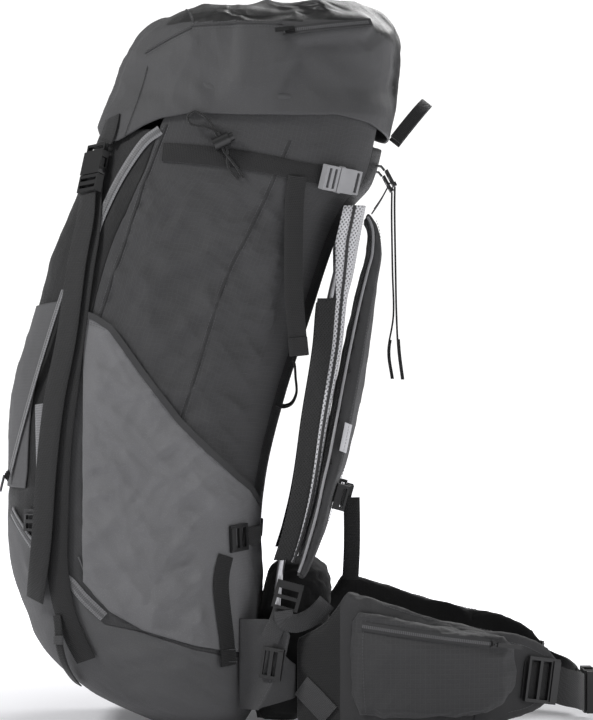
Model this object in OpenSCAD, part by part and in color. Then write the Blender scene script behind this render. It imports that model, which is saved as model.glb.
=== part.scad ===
// Trekking backpack with a floating lid, a sprung mesh back and a hip belt.
// The pack stands on its base. +X is the way the wearer faces, +Y is the
// wearer's left and +Z is up. Sizes are in millimetres. Pieces are drawn for
// the right-hand side, which is -Y, and mirrored for the left.

/* [Main sizes] */
// Height of the sack from the floor to the foot of the lid
sack_h = 654; // [520:1:790]
// Depth that the sack's side profile is drawn to
sack_depth = 276; // [220:1:335]
// Width of the sack at its widest
sack_w = 310; // [250:1:375]

/* [Fabric and padding] */
// Thickness of the sack's padded walls
wall = 4; // [3:0.5:8]
// Thickness of a pocket layer sewn over the sack
layer = 2; // [1.5:0.5:4]
// Thickness of a shoulder pad at its thickest
pad_th = 16; // [10:1:20]
// Thickness of a hip fin at its thickest
fin_th = 17; // [11:1:20]

/* [Webbing] */
// Width of the lid straps
lid_web = 25; // [20:1:30]
// Width of the side, shoulder and sternum straps
side_web = 20; // [16:1:25]
// Width of the hip belt webbing
belt_web = 40; // [32:1:48]
// Thickness of the webbing
web_th = 1.6; // [1:0.1:2.5]

/* [Buckles] */
// Gap between a plug and the walls of its socket
plug_gap = 0.8; // [0.5:0.1:1.5]
// Extra width of a slot over the webbing in it
slot_gap = 1.5; // [1:0.1:3]

/* [Hidden] */

// Clearance that keeps two soft pieces apart
air = 0.4;
// How far above the sack the straps lie
lift = 0.8;
// How square the sack is in plan
square = 3;
// The sack's drawn sizes, which the harness positions are scaled from
kx = sack_depth / 276;
ky = sack_w / 310;
kz = sack_h / 654;

charcoal = [0.27, 0.27, 0.28];
grey = [0.44, 0.44, 0.45];
black = [0.13, 0.13, 0.14];
pale = [0.62, 0.62, 0.63];
mesh_tone = [0.8, 0.8, 0.8];
steel = [0.7, 0.71, 0.72];

// The sack's stations: height, front edge, back edge and half width, the
// height as a part of sack_h, the edges as parts of sack_depth and the
// width as a part of half of sack_w
STATIONS = [
  [0.000, -0.11, 0.225, 0.62],
  [0.030, -0.27, 0.265, 0.80],
  [0.060, -0.405, 0.270, 0.89],
  [0.115, -0.555, 0.272, 0.96],
  [0.170, -0.635, 0.275, 0.985],
  [0.290, -0.72, 0.280, 1.00],
  [0.420, -0.715, 0.310, 1.00],
  [0.550, -0.70, 0.385, 0.985],
  [0.675, -0.62, 0.480, 0.96],
  [0.810, -0.53, 0.585, 0.93],
  [0.870, -0.465, 0.655, 0.915],
  [0.910, -0.43, 0.735, 0.91],
  [1.000, -0.35, 0.790, 0.88],
  [1.040, -0.30, 0.800, 0.87]];

// ---------------------------------------------------------------- helpers
function mix(a, b, f) = a + (b - a) * f;
function unit(v) = v / norm(v);
function turn(c, e) = sign(c) * pow(abs(c), e);
function clamp(v, lo, hi) = min(max(v, lo), hi);
function flat(rows) = [for (r = rows) for (p = r) p];
function at(x, y, z) = [x * kx, y * ky, z * kz];
function flip_y(p) = [p[0], -p[1], p[2]];

// Row of a table that v falls in, by its first column
function row_of(tab, v, i = 0) =
  (i >= len(tab) - 2 || v < tab[i + 1][0]) ? i : row_of(tab, v, i + 1);

// Straight-line reading of column k of a table at v
function read(tab, v, k = 1) =
  let (i = row_of(tab, v), a = tab[i], b = tab[i + 1])
  mix(a[k], b[k], clamp((v - a[0]) / (b[0] - a[0]), 0, 1));

// Slope of column k at row i
function slope(tab, i, k) =
  let (n = len(tab), lo = max(i - 1, 0), hi = min(i + 1, n - 1))
  (tab[hi][k] - tab[lo][k]) / (tab[hi][0] - tab[lo][0]);

// Smooth reading of column k of a table at v
function smooth(tab, v, k) =
  let (i = row_of(tab, v), a = tab[i], b = tab[i + 1], h = b[0] - a[0],
    s = (v - a[0]) / h, s2 = s * s, s3 = s2 * s)
  (2 * s3 - 3 * s2 + 1) * a[k] + (s3 - 2 * s2 + s) * slope(tab, i, k) * h
  + (3 * s2 - 2 * s3) * b[k] + (s3 - s2) * slope(tab, i + 1, k) * h;

// Smooth curve through points, with n steps in each span
function bend(p, n) =
  [for (i = [0:len(p) - 2], j = [0:n - 1])
    let (s = j / n, s2 = s * s, s3 = s2 * s,
      m0 = (p[i + 1] - p[max(i - 1, 0)]) / (i > 0 ? 2 : 1),
      m1 = (p[min(i + 2, len(p) - 1)] - p[i]) / (i < len(p) - 2 ? 2 : 1))
    (2 * s3 - 3 * s2 + 1) * p[i] + (s3 - 2 * s2 + s) * m0
    + (3 * s2 - 2 * s3) * p[i + 1] + (s3 - s2) * m1,
    p[len(p) - 1]];

function tangent(p, i) = unit(p[min(i + 1, len(p) - 1)] - p[max(i - 1, 0)]);

// ------------------------------------------------------------ sack's skin
function front_x(t) = smooth(STATIONS, t, 1) * sack_depth;
function back_x(t) = smooth(STATIONS, t, 2) * sack_depth;
function half_w(t) = smooth(STATIONS, t, 3) * sack_w / 2;

// Point at plan angle a and height part t; 0 is the back, 270 the right side
function ring_point(a, t) =
  let (f = front_x(t), b = back_x(t))
  [(f + b) / 2 + (b - f) / 2 * turn(cos(a), 2 / square),
    half_w(t) * turn(sin(a), 2 / square), t * sack_h];

function ring_normal(a, t) =
  unit(cross(ring_point(a + 1.5, t) - ring_point(a - 1.5, t),
    ring_point(a, t + 0.006) - ring_point(a, max(t - 0.006, 0))));

function skin(a, t, off) =
  off == 0 ? ring_point(a, t) : ring_point(a, t) + off * ring_normal(a, t);

// Plan angle on the right side that a drawn place x, z falls on
function angle_at(x, z) =
  let (t = z / 654, f = front_x(t), b = back_x(t),
    u = clamp((x * kx - (f + b) / 2) / ((b - f) / 2), -0.999, 0.999))
  360 - acos(turn(u, square / 2));

function on_side(p, off) = skin(angle_at(p[0], p[1]), p[1] / 654, off);
function side_normal(p) = ring_normal(angle_at(p[0], p[1]), p[1] / 654);

// ------------------------------------------------------------ solid makers
// Solid from triangles, each turned so that the solid's inside is inside
module shell_of(pts, tris) {
  volumes = [for (f = tris) pts[f[0]] * cross(pts[f[1]], pts[f[2]])];
  inward = volumes * [for (v = volumes) 1] < 0;
  polyhedron(pts, [for (f = tris) inward ? f : [f[2], f[1], f[0]]]);
}

// Closed sheet between two grids of points
module slab(outer, inner) {
  rows = len(outer);
  cols = len(outer[0]);
  n = rows * cols;
  last = (rows - 1) * cols;
  quads = concat(
    [for (i = [0:rows - 2], j = [0:cols - 2])
      [i * cols + j, i * cols + j + 1, (i + 1) * cols + j + 1,
        (i + 1) * cols + j]],
    [for (i = [0:rows - 2], j = [0:cols - 2])
      [n + i * cols + j, n + (i + 1) * cols + j,
        n + (i + 1) * cols + j + 1, n + i * cols + j + 1]],
    [for (j = [0:cols - 2]) [j + 1, j, n + j, n + j + 1]],
    [for (k = [last:last + cols - 2]) [k, k + 1, n + k + 1, n + k]],
    [for (k = [0:cols:last - cols]) [k, k + cols, n + k + cols, n + k]],
    [for (k = [cols - 1:cols:last - 1])
      [k + cols, k, n + k, n + k + cols]]);
  shell_of(concat(flat(outer), flat(inner)),
    [for (q = quads) each [[q[0], q[1], q[2]], [q[0], q[2], q[3]]]]);
}

// Closed solid through a row of rings; joined = true closes the row too
module loft(rings, joined = false) {
  rows = len(rings);
  cols = len(rings[0]);
  span = joined ? rows : rows - 1;
  sides = [for (i = [0:span - 1], j = [0:cols - 1])
    let (a = i * cols, b = ((i + 1) % rows) * cols, k = (j + 1) % cols)
    each [[a + j, a + k, b + k], [a + j, b + k, b + j]]];
  ends = joined ? [] : concat(
    [for (j = [1:cols - 2]) [0, j + 1, j]],
    [for (j = [1:cols - 2])
      let (k = (rows - 1) * cols) [k, k + j, k + j + 1]]);
  shell_of(flat(rings), concat(sides, ends));
}

// Strap with its inner face along points p and its thickness along n
module strap(p, n, w, th = web_th) {
  loft([for (i = [0:len(p) - 1])
    let (t = tangent(p, i), s = unit(cross(t, n[i])), u = unit(cross(s, t)))
    [p[i] - s * w / 2, p[i] + s * w / 2, p[i] + s * w / 2 + u * th,
      p[i] - s * w / 2 + u * th]]);
}

// Strap lying on the sack's right side along drawn places x, z
module side_strap(route, w, off, th = web_th, n = 4) {
  r = bend(route, n);
  strap([for (q = r) on_side(q, off)], [for (q = r) side_normal(q)], w, th);
}

// Round cord or rod along points; ref is never along the cord
module tube(p, r, sides, ref) {
  loft([for (i = [0:len(p) - 1])
    let (t = tangent(p, i), s = unit(cross(t, ref)), u = cross(s, t))
    [for (k = [0:sides - 1])
      p[i] + r * (cos(k * 360 / sides) * s - sin(k * 360 / sides) * u)]]);
}

// Frame with its origin at o, its length along x and its thickness along z
module place(o, x, z) {
  ex = unit(x);
  ey = unit(cross(z, ex));
  ez = cross(ex, ey);
  multmatrix([[ex[0], ey[0], ez[0], o[0]], [ex[1], ey[1], ez[1], o[1]],
    [ex[2], ey[2], ez[2], o[2]], [0, 0, 0, 1]])
    children();
}

module bar(x0, x1, w, z0, z1) {
  translate([x0, -w / 2, z0])
    cube([x1 - x0, w, z1 - z0]);
}

module left_of() {
  mirror([0, 1, 0])
    children();
}

module pair() {
  children();
  left_of()
    children();
}

// -------------------------------------------------------------- hardware
// Sizes of a side-release buckle for webbing of width w
function clip_w(w) = w + 9;
function clip_th(w) = 5 + w * 0.2;
function clip_len(w) = 10 + w * 0.65;
// Wall of a socket
skin_th = 1.6;

// Socket of a side-release buckle; its mouth is at 0 and it runs along +x
module socket(w) {
  len_s = clip_len(w);
  th = clip_th(w);
  bw = clip_w(w);
  win_x0 = len_s * 0.3;
  win_x1 = len_s * 0.72;
  win_y = bw * 0.26;
  difference() {
    union() {
      bar(0, len_s, bw - 2, 0, th);
      bar(len_s * 0.1, len_s * 0.25, bw, 0.8, th - 0.8);
      bar(len_s - 1, len_s + 9, bw - 3, th * 0.2, th * 0.8);
    }
    bar(-1, len_s * 0.85, bw - 2 - 2 * skin_th, skin_th, th - skin_th);
    for (s = [-1, 1])
      translate([win_x0, s * bw / 2 - win_y / 2, skin_th])
        cube([win_x1 - win_x0, win_y, th - 2 * skin_th]);
    bar(len_s + 2, len_s + 6, w + slot_gap, -1, th + 1);
  }
}

// Plug of a side-release buckle: prongs along +x, ladder bars along -x
module plug(w) {
  th = clip_th(w);
  bw = clip_w(w);
  reach = clip_len(w) * 0.72;
  low = skin_th + plug_gap;
  high = th - skin_th - plug_gap;
  side = bw / 2 - 1 - skin_th - plug_gap;
  difference() {
    union() {
      bar(-20, -0.8, bw - 2, 0.6, th - 0.6);
      bar(-1, reach * 0.9, 3, low, high);
    }
    bar(-8, -4.5, w + slot_gap, -1, th + 1);
    bar(-16, -12.5, w + slot_gap, -1, th + 1);
  }
  for (s = [-1, 1])
    translate([0, s * (side - 1.8), 0]) {
      bar(-1, reach, 3.6, low, high);
      translate([reach - 5, s * 0.3, 0])
        bar(0, 4, 3, low, high);
    }
}

// Ladder lock plate: two slots and a lifted thumb edge, running along +x
module ladder(w, len_l, th) {
  difference() {
    bar(0, len_l, w + 9, 0, th);
    bar(3, len_l * 0.36, w + slot_gap, -1, th + 1);
    bar(len_l * 0.36 + 4, len_l * 0.72, w + slot_gap, -1, th + 1);
  }
  bar(len_l * 0.78, len_l, w + 4, th - 0.1, th + 1.4);
}

// Zip slider and its pull tab, running along +x
module slider(pull) {
  bar(-5, 5, 8, 0, 1.2);
  bar(-4, 4, 5, 1.1, 3);
  bar(-2.5, 2.5, 2, 2.9, 4.2);
  bar(1, pull, 4.5, 4, 5.4);
}

// ------------------------------------------------------------------ sack
front_edge_u = -0.55;
back_edge_u = 0.93;
a_front = acos(turn(front_edge_u, square / 2));
a_back = acos(turn(back_edge_u, square / 2));
// Upper edge of the base, by place across the side from front to back
BASE_EDGE = [[-1, 0.362], [-0.84, 0.33], [-0.54, 0.25], [-0.275, 0.18],
  [0.04, 0.167], [0.465, 0.138], [1, 0.113]];
function base_edge(a) = read(BASE_EDGE, turn(cos(a), 2 / square));
// Part of the height that a seam gap takes
seam = 0.5 / sack_h;

// Wall panel between two plan angles and two height rules
module wall_panel(a0, a1, cols, t0, t1, rows) {
  half_gap = 0.15;
  function grid(off) = [for (i = [0:rows]) [for (j = [0:cols])
    let (a = mix(a0 + half_gap, a1 - half_gap, j / cols),
      lo = t0 < 0 ? base_edge(a) + seam : t0)
    skin(a, mix(lo, t1, i / rows), off)]];
  slab(grid(0), grid(-wall));
}

module front_panel() {
  color(black)
    wall_panel(a_front, 360 - a_front, 26, -1, 0.99, 18);
}

module side_panels() {
  color(charcoal)
    pair()
      wall_panel(360 - a_front, 360 - a_back, 14, -1, 1.02, 20);
}

module rear_panel() {
  color(black)
    wall_panel(-a_back, a_back, 8, -1, 0.965, 20);
}

module base_panel() {
  rows = 8;
  cols = 48;
  function ring(f, off) = [for (j = [0:cols - 1])
    let (a = j * 360 / cols) skin(a, base_edge(a) * f, off)];
  function floor_ring(k, z) = [for (j = [0:cols - 1])
    let (p = ring_point(j * 360 / cols, 0), c = [back_x(0) / 4, 0, 0])
    [mix(c[0], p[0], k), p[1] * k, z]];
  color(grey)
    loft(concat([floor_ring(0.96, wall)],
      [for (i = [1:rows]) ring(i / rows, -wall)],
      [for (i = [rows:-1:1]) ring(i / rows, 0)],
      [floor_ring(1, 0)]));
}

// Drawstring collar that closes the sack under the lid
module collar() {
  cols = 32;
  off = -wall - 0.9;
  // Height, centre along x, half depth and half width of each upper ring
  rings = [[672, 66, 112, 104], [690, 68, 100, 90]];
  function low(t, d) = [for (j = [0:cols - 1])
    skin(j * 360 / cols, t, off - d)];
  function ring(r, d) = [for (j = [0:cols - 1])
    let (a = j * 360 / cols)
    [r[1] * kx + (r[2] * kx - d) * turn(cos(a), 2 / 2.5),
      (r[3] * ky - d) * turn(sin(a), 2 / 2.5), r[0] * kz]];
  function side(d) = concat([low(0.93, d), low(0.962, d)],
    [for (r = rings) ring(r, d)]);
  inner = side(1.5);
  color(black)
    loft(concat(side(0), [for (i = [len(inner) - 1:-1:0]) inner[i]]),
      joined = true);
}

// Side pocket: a layer over the side panel with a slanted mouth
POCKET_TOP = [[-112, 450], [-96, 445], [-78, 433], [-45, 386], [-6, 335],
  [33, 294], [67, 262], [78, 240]];
POCKET_FOOT = [[-112, 168], [-80, 132], [-45, 112], [11, 95], [76, 80]];
module side_pockets() {
  rows = 10;
  cols = 20;
  rear_u = 0.915;
  // Columns sit closer together round the rear corner
  function crowd(f) = 1 - pow(1 - f, 1.5);
  function rear_x(z) = let (t = z / 654, f = front_x(t), b = back_x(t))
    ((f + b) / 2 + rear_u * (b - f) / 2) / kx;
  function grid(off) = [for (i = [0:rows]) [for (j = [0:cols])
    let (x = mix(-108, 74, crowd(j / cols)),
      z = mix(read(POCKET_FOOT, x), read(POCKET_TOP, x), i / rows))
    on_side([mix(-108, rear_x(z), crowd(j / cols)), z], off)]];
  color(grey)
    pair()
      slab(grid(layer + 2 * air), grid(2 * air));
}

// Front pocket: a layer over the front panel
module front_pocket() {
  rows = 10;
  cols = 16;
  a_edge = acos(turn(-0.80, square / 2));
  function grid(off) = [for (i = [0:rows]) [for (j = [0:cols])
    let (a = mix(a_edge, 360 - a_edge, j / cols),
      c = turn(cos(a), 2 / square))
    skin(a, mix(0.40, mix(0.735, 0.70, -c), i / rows), off)]];
  color(grey)
    slab(grid(air + layer), grid(air));
}

SIDE_ZIP = [[-27, 646], [-45, 632], [-67, 600], [-84, 567], [-97, 533],
  [-104, 490], [-107, 462]];
BASE_ZIP = [[-86, 126], [-106, 145], [-121, 162], [-134, 172], [-160, 198],
  [-179, 223], [-188, 236]];
// The front pocket's zip lies on a circle: centre, first arm and axis
zip_a = on_side([-128, 474], air + layer + 4);
zip_b = on_side([-160, 370], air + layer + 4);
zip_c = on_side([-187, 274], air + layer + 4);

// Centre of the circle through three points
function centre3(p, q, r) =
  let (u = q - p, v = r - p, w = cross(u, v))
  p + (cross(w, u) * (v * v) + cross(v, w) * (u * u)) / (2 * (w * w));
zip_o = centre3(zip_a, zip_b, zip_c);
zip_axis = unit(cross(zip_a - zip_o, zip_c - zip_o));
zip_turn = acos(unit(zip_a - zip_o) * unit(zip_c - zip_o));
function around(v, k, a) =
  v * cos(a) + cross(k, v) * sin(a) + k * (k * v) * (1 - cos(a));
function zip_point(f) = zip_o + around(zip_c - zip_o, zip_axis, -f * zip_turn);

module pack_zips() {
  tape = 11;
  front = [for (i = [0:12]) zip_point(i / 12)];
  foot_n = side_normal([-187, 274]);
  front_n = [for (i = [0:12]) around(foot_n, zip_axis, -i / 12 * zip_turn)];
  color(pale)
    pair() {
      side_strap(SIDE_ZIP, tape, lift, 1);
      side_strap(BASE_ZIP, tape, lift, 1.4, 3);
      strap([for (i = [0:12]) front[i] - front_n[i] * 1.2], front_n, tape - 2,
        1.2);
    }
}

// -------------------------------------------------------------- front kit
LID_STRAP = [[-96, 588, 2.5], [-98, 566, 2.5], [-101, 530, 2.5],
  [-106, 500, 2.7], [-114, 444, 3.2], [-123, 377, 3.2], [-131, 310, 3.2],
  [-134, 243, 3.2], [-135, 186, 3.2], [-129, 141, 3.2], [-118, 108, 3.2],
  [-104, 80, 3.2]];
// The lid buckle's plug, on the right front corner
lid_clip = [-94, 596];
lid_clip_n = side_normal(lid_clip);
lid_clip_o = on_side(lid_clip, 5.2);
lid_clip_x = unit(on_side([-88, 626], 5.2) - on_side([-100, 566], 5.2));

module lid_strap_webbing() {
  lid_route = bend(LID_STRAP, 3);
  color(black)
    pair()
      strap([for (q = lid_route) on_side(q, q[2])],
        [for (q = lid_route) side_normal(q)], lid_web, web_th);
}

// Axe loop, daisy tape and accessory clip on each side of the front. The
// axe loop's route also has its height over the sack
AXE_LOOP = [[-134, 128, 5.6], [-131, 118, 8], [-127, 100, 13],
  [-122, 82, 13], [-117, 64, 8], [-113, 54, 5.2]];
clip_foot = [-163, 216];
clip_head = [-163, 240];
module gear_loops() {
  axe = bend(AXE_LOOP, 3);
  color(black)
    pair() {
      strap([for (q = axe) on_side(q, q[2])], [for (q = axe) side_normal(q)],
        10, 1.4);
      side_strap([[-156, 352], [-155, 320], [-154, 285]], 12, lift, 1.4, 3);
      place(on_side(clip_foot, 2.7), on_side(clip_head, 2.7) -
        on_side(clip_foot, 2.7), side_normal(clip_foot))
        ladder(10, 24, 3);
    }
}

// ------------------------------------------------------- side compression
UPPER_STRAP = [[-24, 622], [11, 619], [56, 614], [92, 608], [120, 602],
  [146, 598]];
side_clip_a = on_side([146, 597], lift + web_th + 1.4);
side_clip_b = on_side([186, 593], lift + web_th + 2.6);
side_clip_x = unit(side_clip_b - side_clip_a);
side_clip_n = side_normal([160, 595]);
side_clip_o = side_clip_a + side_clip_x * 16;

// Short tab from the sack's corner to the lower lock: x, z and lift
LOWER_TAB = [[58, 209.5, 3.5], [64, 209.5, 3.4], [70, 209.5, 3.3],
  [76, 210, 3.2]];

module compression_webbing() {
  color(black)
    pair() {
      side_strap(UPPER_STRAP, side_web, lift, web_th, 3);
      strap([for (q = LOWER_TAB) on_side(q, q[2])],
        [for (q = LOWER_TAB) side_normal(q)], side_web, web_th);
      side_strap([[41, 190], [37, 172], [36, 154], [39, 124], [42, 98],
        [43, 72]], side_web, layer + air + lift, web_th, 3);
    }
}

module compression_sockets() {
  color(grey)
    pair()
      place(side_clip_o, side_clip_x, side_clip_n)
        socket(side_web);
}

// ------------------------------------------------------------- back frame
// Height and depth of the mesh back's face, and how far it wraps round
MESH = [[182, 118, 4], [211, 128, 5], [260, 141, 7], [337, 154, 9],
  [412, 168, 11], [466, 174, 12], [490, 180, 19], [528, 187, 26],
  [566, 194, 24]];
mesh_th = 3;
frame_r = 4;
frame_y = 112;
// Route of a frame leg from the foot to the crown
LEG = [[92, -107, 34], [94, -110, 70], [97, -112, 120], [100, -112, 160],
  [106, -112, 196], [117, -112, 239], [130, -112, 289], [141, -112, 355],
  [148, -112, 412], [157, -112, 466], [170, -112, 520], [177.6, -108, 547],
  [181.7, -92, 559]];

module frame_rod() {
  leg = bend([for (p = LEG) at(p[0], p[1], p[2])], 3);
  n = len(leg);
  color(steel)
    tube(concat(leg, [for (i = [n - 1:-1:0]) flip_y(leg[i])]), frame_r, 8,
      [1, 0, 0.35]);
}

function mesh_x(z) = smooth(MESH, z, 1);
function mesh_wrap(z) = read(MESH, z, 2);

module frame_sleeves() {
  rows = 14;
  function grid(y) = [for (i = [0:rows])
    let (z = mix(184, 466, i / rows), x = mesh_x(z) - mesh_wrap(z) - air)
    [for (d = [0, 20]) at(x - d, -y, z)]];
  color(black)
    pair()
      slab(grid(frame_y + 9), grid(frame_y + frame_r + air));
}

module back_mesh() {
  rows = 16;
  // Place across the back and how much of the wrap it takes
  cross_y = [[-121.5, 1], [-121, 0.5], [-118, 0.15], [-108, 0], [-85, 0],
    [-60, 0], [-30, 0], [0, 0]];
  function dip(y, z) =
    6 * (1 - pow(abs(y) / 108, 2)) * clamp((546 - z) / 100, 0, 1);
  function row(z, back) =
    let (half = [for (c = cross_y)
      at(mesh_x(z) - mesh_wrap(z) * c[1] - (abs(c[0]) < 108 ? dip(c[0], z) : 0)
        - (c[1] < 1 ? back : 0),
        c[0] + (c[1] > 0.1 ? back : 0), z)])
    concat(half, [for (i = [len(half) - 2:-1:0]) flip_y(half[i])]);
  color(mesh_tone)
    slab([for (i = [0:rows]) row(mix(182, 566, i / rows), 0)],
      [for (i = [0:rows]) row(mix(182, 566, i / rows), mesh_th)]);
}

// Lumbar pad between the sack and the wearer's back
LUMBAR = [[10, 122, 88], [22, 138, 98], [60, 147, 101], [110, 151, 101],
  [150, 154, 92], [168, 150, 82], [176, 140, 72]];
module lumbar_pad() {
  cols = 24;
  function back_of(z) = (z > 112 ? mix(0, 17, (z - 112) / 64) : 0)
    + back_x(z / 654) / kx + 1.2;
  function ring(r) = [for (j = [0:cols - 1])
    let (a = j * 360 / cols, b = back_of(r[0]), c = (r[1] + b) / 2)
    at(c + (r[1] - b) / 2 * turn(cos(a), 0.5), r[2] * turn(sin(a), 0.5),
      r[0])];
  color(black)
    loft([for (r = LUMBAR) ring(r)]);
}

// --------------------------------------------------------------- harness
// Shoulder pad stations: x, y, z, width, thickness as a part of pad_th, twist
PAD = [[195.9, -46, 560, 56, 0.30, 0], [204, -50, 541, 62, 0.42, 0],
  [205, -54, 515, 66, 0.55, 2], [200, -58, 490, 68, 0.7, 3],
  [192.5, -64, 451, 70, 0.85, 5], [180, -76, 380, 70, 1, 8],
  [164.5, -88, 305, 68, 0.95, 7], [155.5, -94, 270, 66, 0.88, 6],
  [145.5, -100, 231, 60, 0.75, 5], [132, -107, 190, 44, 0.6, 4],
  [123, -111, 168, 30, 0.45, 3]];
pad_c = bend([for (p = PAD) at(p[0], p[1], p[2])], 2);
pad_s = bend([for (p = PAD) [p[3], p[4] * pad_th, p[5]]], 2);

module shoulder_pad() {
  ring = [[-0.5, -0.25], [-0.44, -0.5], [0.44, -0.5], [0.5, -0.25],
    [0.5, 0.25], [0.44, 0.5], [-0.44, 0.5], [-0.5, 0.25]];
  n = len(pad_c);
  color(charcoal)
    loft([for (i = [0:n - 1])
      let (t = i == 0 ? [0, 0, -1] : tangent(pad_c, i), w = pad_s[i][0],
        h = pad_s[i][1], across = [sin(pad_s[i][2]), cos(pad_s[i][2]), 0],
        face = unit(cross(across, t)), side = cross(t, face))
      [for (q = ring) pad_c[i] + side * q[0] * w - face * q[1] * h]]);
}

module shoulder_pad_right() shoulder_pad();
module shoulder_pad_left() left_of() shoulder_pad();

// Load lifter: the lock at the head of the sack and the strap to the pad
lifter_o = at(216, -52, 607);
lifter_x = unit([9, 0, -17]);
lifter_n = unit([17, 0, 9]);
// Shoulder adjuster: the lock at the pad's foot
adjust_o = at(105.6, -130, 134);
adjust_x = unit([8, 2, 30]);
// Stabiliser lock on the belt wing
stab_o = at(82, -128.4, 76);

module harness_webbing() {
  color(grey)
    pair() {
      // Load lifter tab and strap
      strap([at(207.4, -52, 612), at(211.6, -52, 611.5), at(215, -52, 607.2)],
        [[0, 0, 1], [0.5, 0, 1], [1, 0, 0.6]], side_web, web_th);
      strap(bend([at(221, -52, 594.5), at(212.6, -51, 579), at(203.8, -50, 566)],
        3), [for (i = [0:6]) [1, 0, -0.6]], side_web, web_th);
      // Shoulder adjuster anchor and its hanging tail
      strap(bend([at(90, -133.2, 99), at(95, -133.2, 111),
        at(99.6, -133, 119.5), at(102.5, -126.4, 127.5),
        at(104, -125.3, 133)], 3), [for (i = [0:12]) [0, -1, 0]], side_web,
        web_th);
      strap(bend([at(105, -136.2, 131), at(107, -136.8, 121),
        at(118, -130, 117), at(132, -122, 121), at(143, -118.5, 129),
        at(152, -117, 139)], 3), [for (i = [0:15]) [0, -1, 0]],
        side_web, web_th);
    }
}

lower_lock_off = layer + air + lift + web_th + 0.9;
module ladder_locks() {
  color(black)
    pair() {
      place(lifter_o, lifter_x, lifter_n)
        ladder(side_web, 20, 3);
      place(adjust_o + [0, 0, -2], adjust_x, [0, -1, 0.07])
        ladder(side_web, 30, 3);
      place(stab_o, [1, -0.32, -0.15], [-0.32, -1, 0])
        ladder(lid_web, 24, 3.4);
      place(on_side([60, 210], lower_lock_off),
        on_side([34, 206], lower_lock_off) -
          on_side([60, 210], lower_lock_off), side_normal([48, 208]))
        ladder(side_web, 26, 3.2);
    }
}

// Wing that ties the sack's lower corner to the belt
module belt_wings() {
  rows = 14;
  cols = 6;
  tongue_cols = 3;
  // Height and front end of the wing
  edge = [[22, 76], [50, 92], [76, 106], [104, 112], [122, 104]];
  // A tongue at mid height reaches forward to the fin's root
  function reach(z) =
    clamp((z - 26) / 10, 0.03, 1) * clamp((82 - z) / 10, 0.03, 1);
  function front_edge(z) = at(read(edge, z, 1), -130.6, z);
  function row(z, off) = concat(
    [for (j = [0:cols]) mix(on_side([55, z], layer + 2 * air),
      front_edge(z), j / cols) + [0, -off, 0]],
    [for (j = [1:tongue_cols]) mix(front_edge(z), at(117.9, -117, z),
      reach(z) * j / tongue_cols) + [0, -off, 0]]);
  function grid(off) = [for (i = [0:rows])
    row(mix(24, 121, i / rows), off)];
  color(grey)
    pair()
      slab(grid(2), grid(0));
}

// Load lifter's hanging tail
module lifter_tail(x_end) {
  p = bend([at(226.2, -52, 589.2), at(226, -52, 560), at(227, -52, 500),
    at(228, -52, 450), at(x_end - 4, -52, 410), at(x_end, -52, 378)], 3);
  n = [for (q = p) [1, 0, 0]];
  color(black) {
    strap(p, n, side_web, web_th);
    strap([for (i = [11:15]) p[i] + [web_th + 0.05, 0, 0]], [for (i = [0:4])
      [1, 0, 0]], side_web, web_th);
  }
}

module lifter_tail_right() lifter_tail(234);
module lifter_tail_left() left_of() lifter_tail(226);

// Sternum strap: both straps run straight across at one height
sternum_z = 252;
sternum_x = 168;

module sternum_slider() {
  color(black)
    place(sternum_base - [0, 90 * ky, 0], [0, 1, 0], sternum_n)
      difference() {
        bar(-3, 13, side_web + 8, 0, 13.5);
        bar(-4, 14, side_web + slot_gap, 7.4, 11);
      }
}

module sternum_slider_right() sternum_slider();
module sternum_slider_left() left_of() sternum_slider();

sternum_n = unit([1, 0, -0.27]);
sternum_base = at(160.8, 0, sternum_z);
sternum_band = sternum_base + sternum_n * 8.4;
sternum_clip = sternum_band + sternum_n * (web_th + air);

module sternum_band_piece(y0, y1) {
  p = [for (i = [0:4]) sternum_band + [0, -mix(y0, y1, i / 4) * ky, 0]];
  strap(p, [for (q = p) sternum_n], side_web, web_th);
}

module sternum_webbing_right() {
  tail = bend([at(179.8, -36, 248), at(180.2, -36, 220), at(180, -36, 190),
    at(178.4, -36, 157)], 3);
  color(black) {
    sternum_band_piece(98, 14);
    strap(tail, [for (q = tail) [0, -1, 0]], side_web - 2, web_th);
  }
}

module sternum_webbing_left() {
  color(black)
    left_of()
      sternum_band_piece(98, 10);
}

module sternum_socket() {
  color(black)
    place(sternum_clip + [0, 2, 0], [0, -1, 0], sternum_n)
      socket(side_web);
}

module sternum_plug() {
  color(black)
    place(sternum_clip + [0, 2, 0], [0, -1, 0], sternum_n)
      plug(side_web);
}

// -------------------------------------------------------------- hip belt
// Fin stations: x, y, foot height, top height, thickness as a part of fin_th
FIN = [[120, -116, 8, 100, 0.55], [134, -124, 6, 108, 0.8],
  [150, -131, 5, 118, 0.9], [164, -137, 4, 137, 0.9],
  [176, -141, 3, 153, 0.95], [212, -149, 2.5, 144, 1],
  [250, -152, 2.5, 131, 1], [290, -148, 3, 121, 1],
  [325, -138, 8, 113, 0.9], [350, -127, 14, 107, 0.8],
  [375, -113, 21, 98, 0.7], [390, -103, 30, 88, 0.6],
  [400, -96, 42, 76, 0.45]];

function fin_y(x) = smooth(FIN, x, 1);
function fin_half(x) = smooth(FIN, x, 4) * fin_th / 2;
function fin_n(x) =
  unit(cross([kx, (fin_y(x + 1) - fin_y(x - 1)) / 2 * ky, 0], [0, 0, 1]));
function fin_at(x, z, off) =
  at(x, fin_y(x), z) + fin_n(x) * (fin_half(x) + off);

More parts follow.
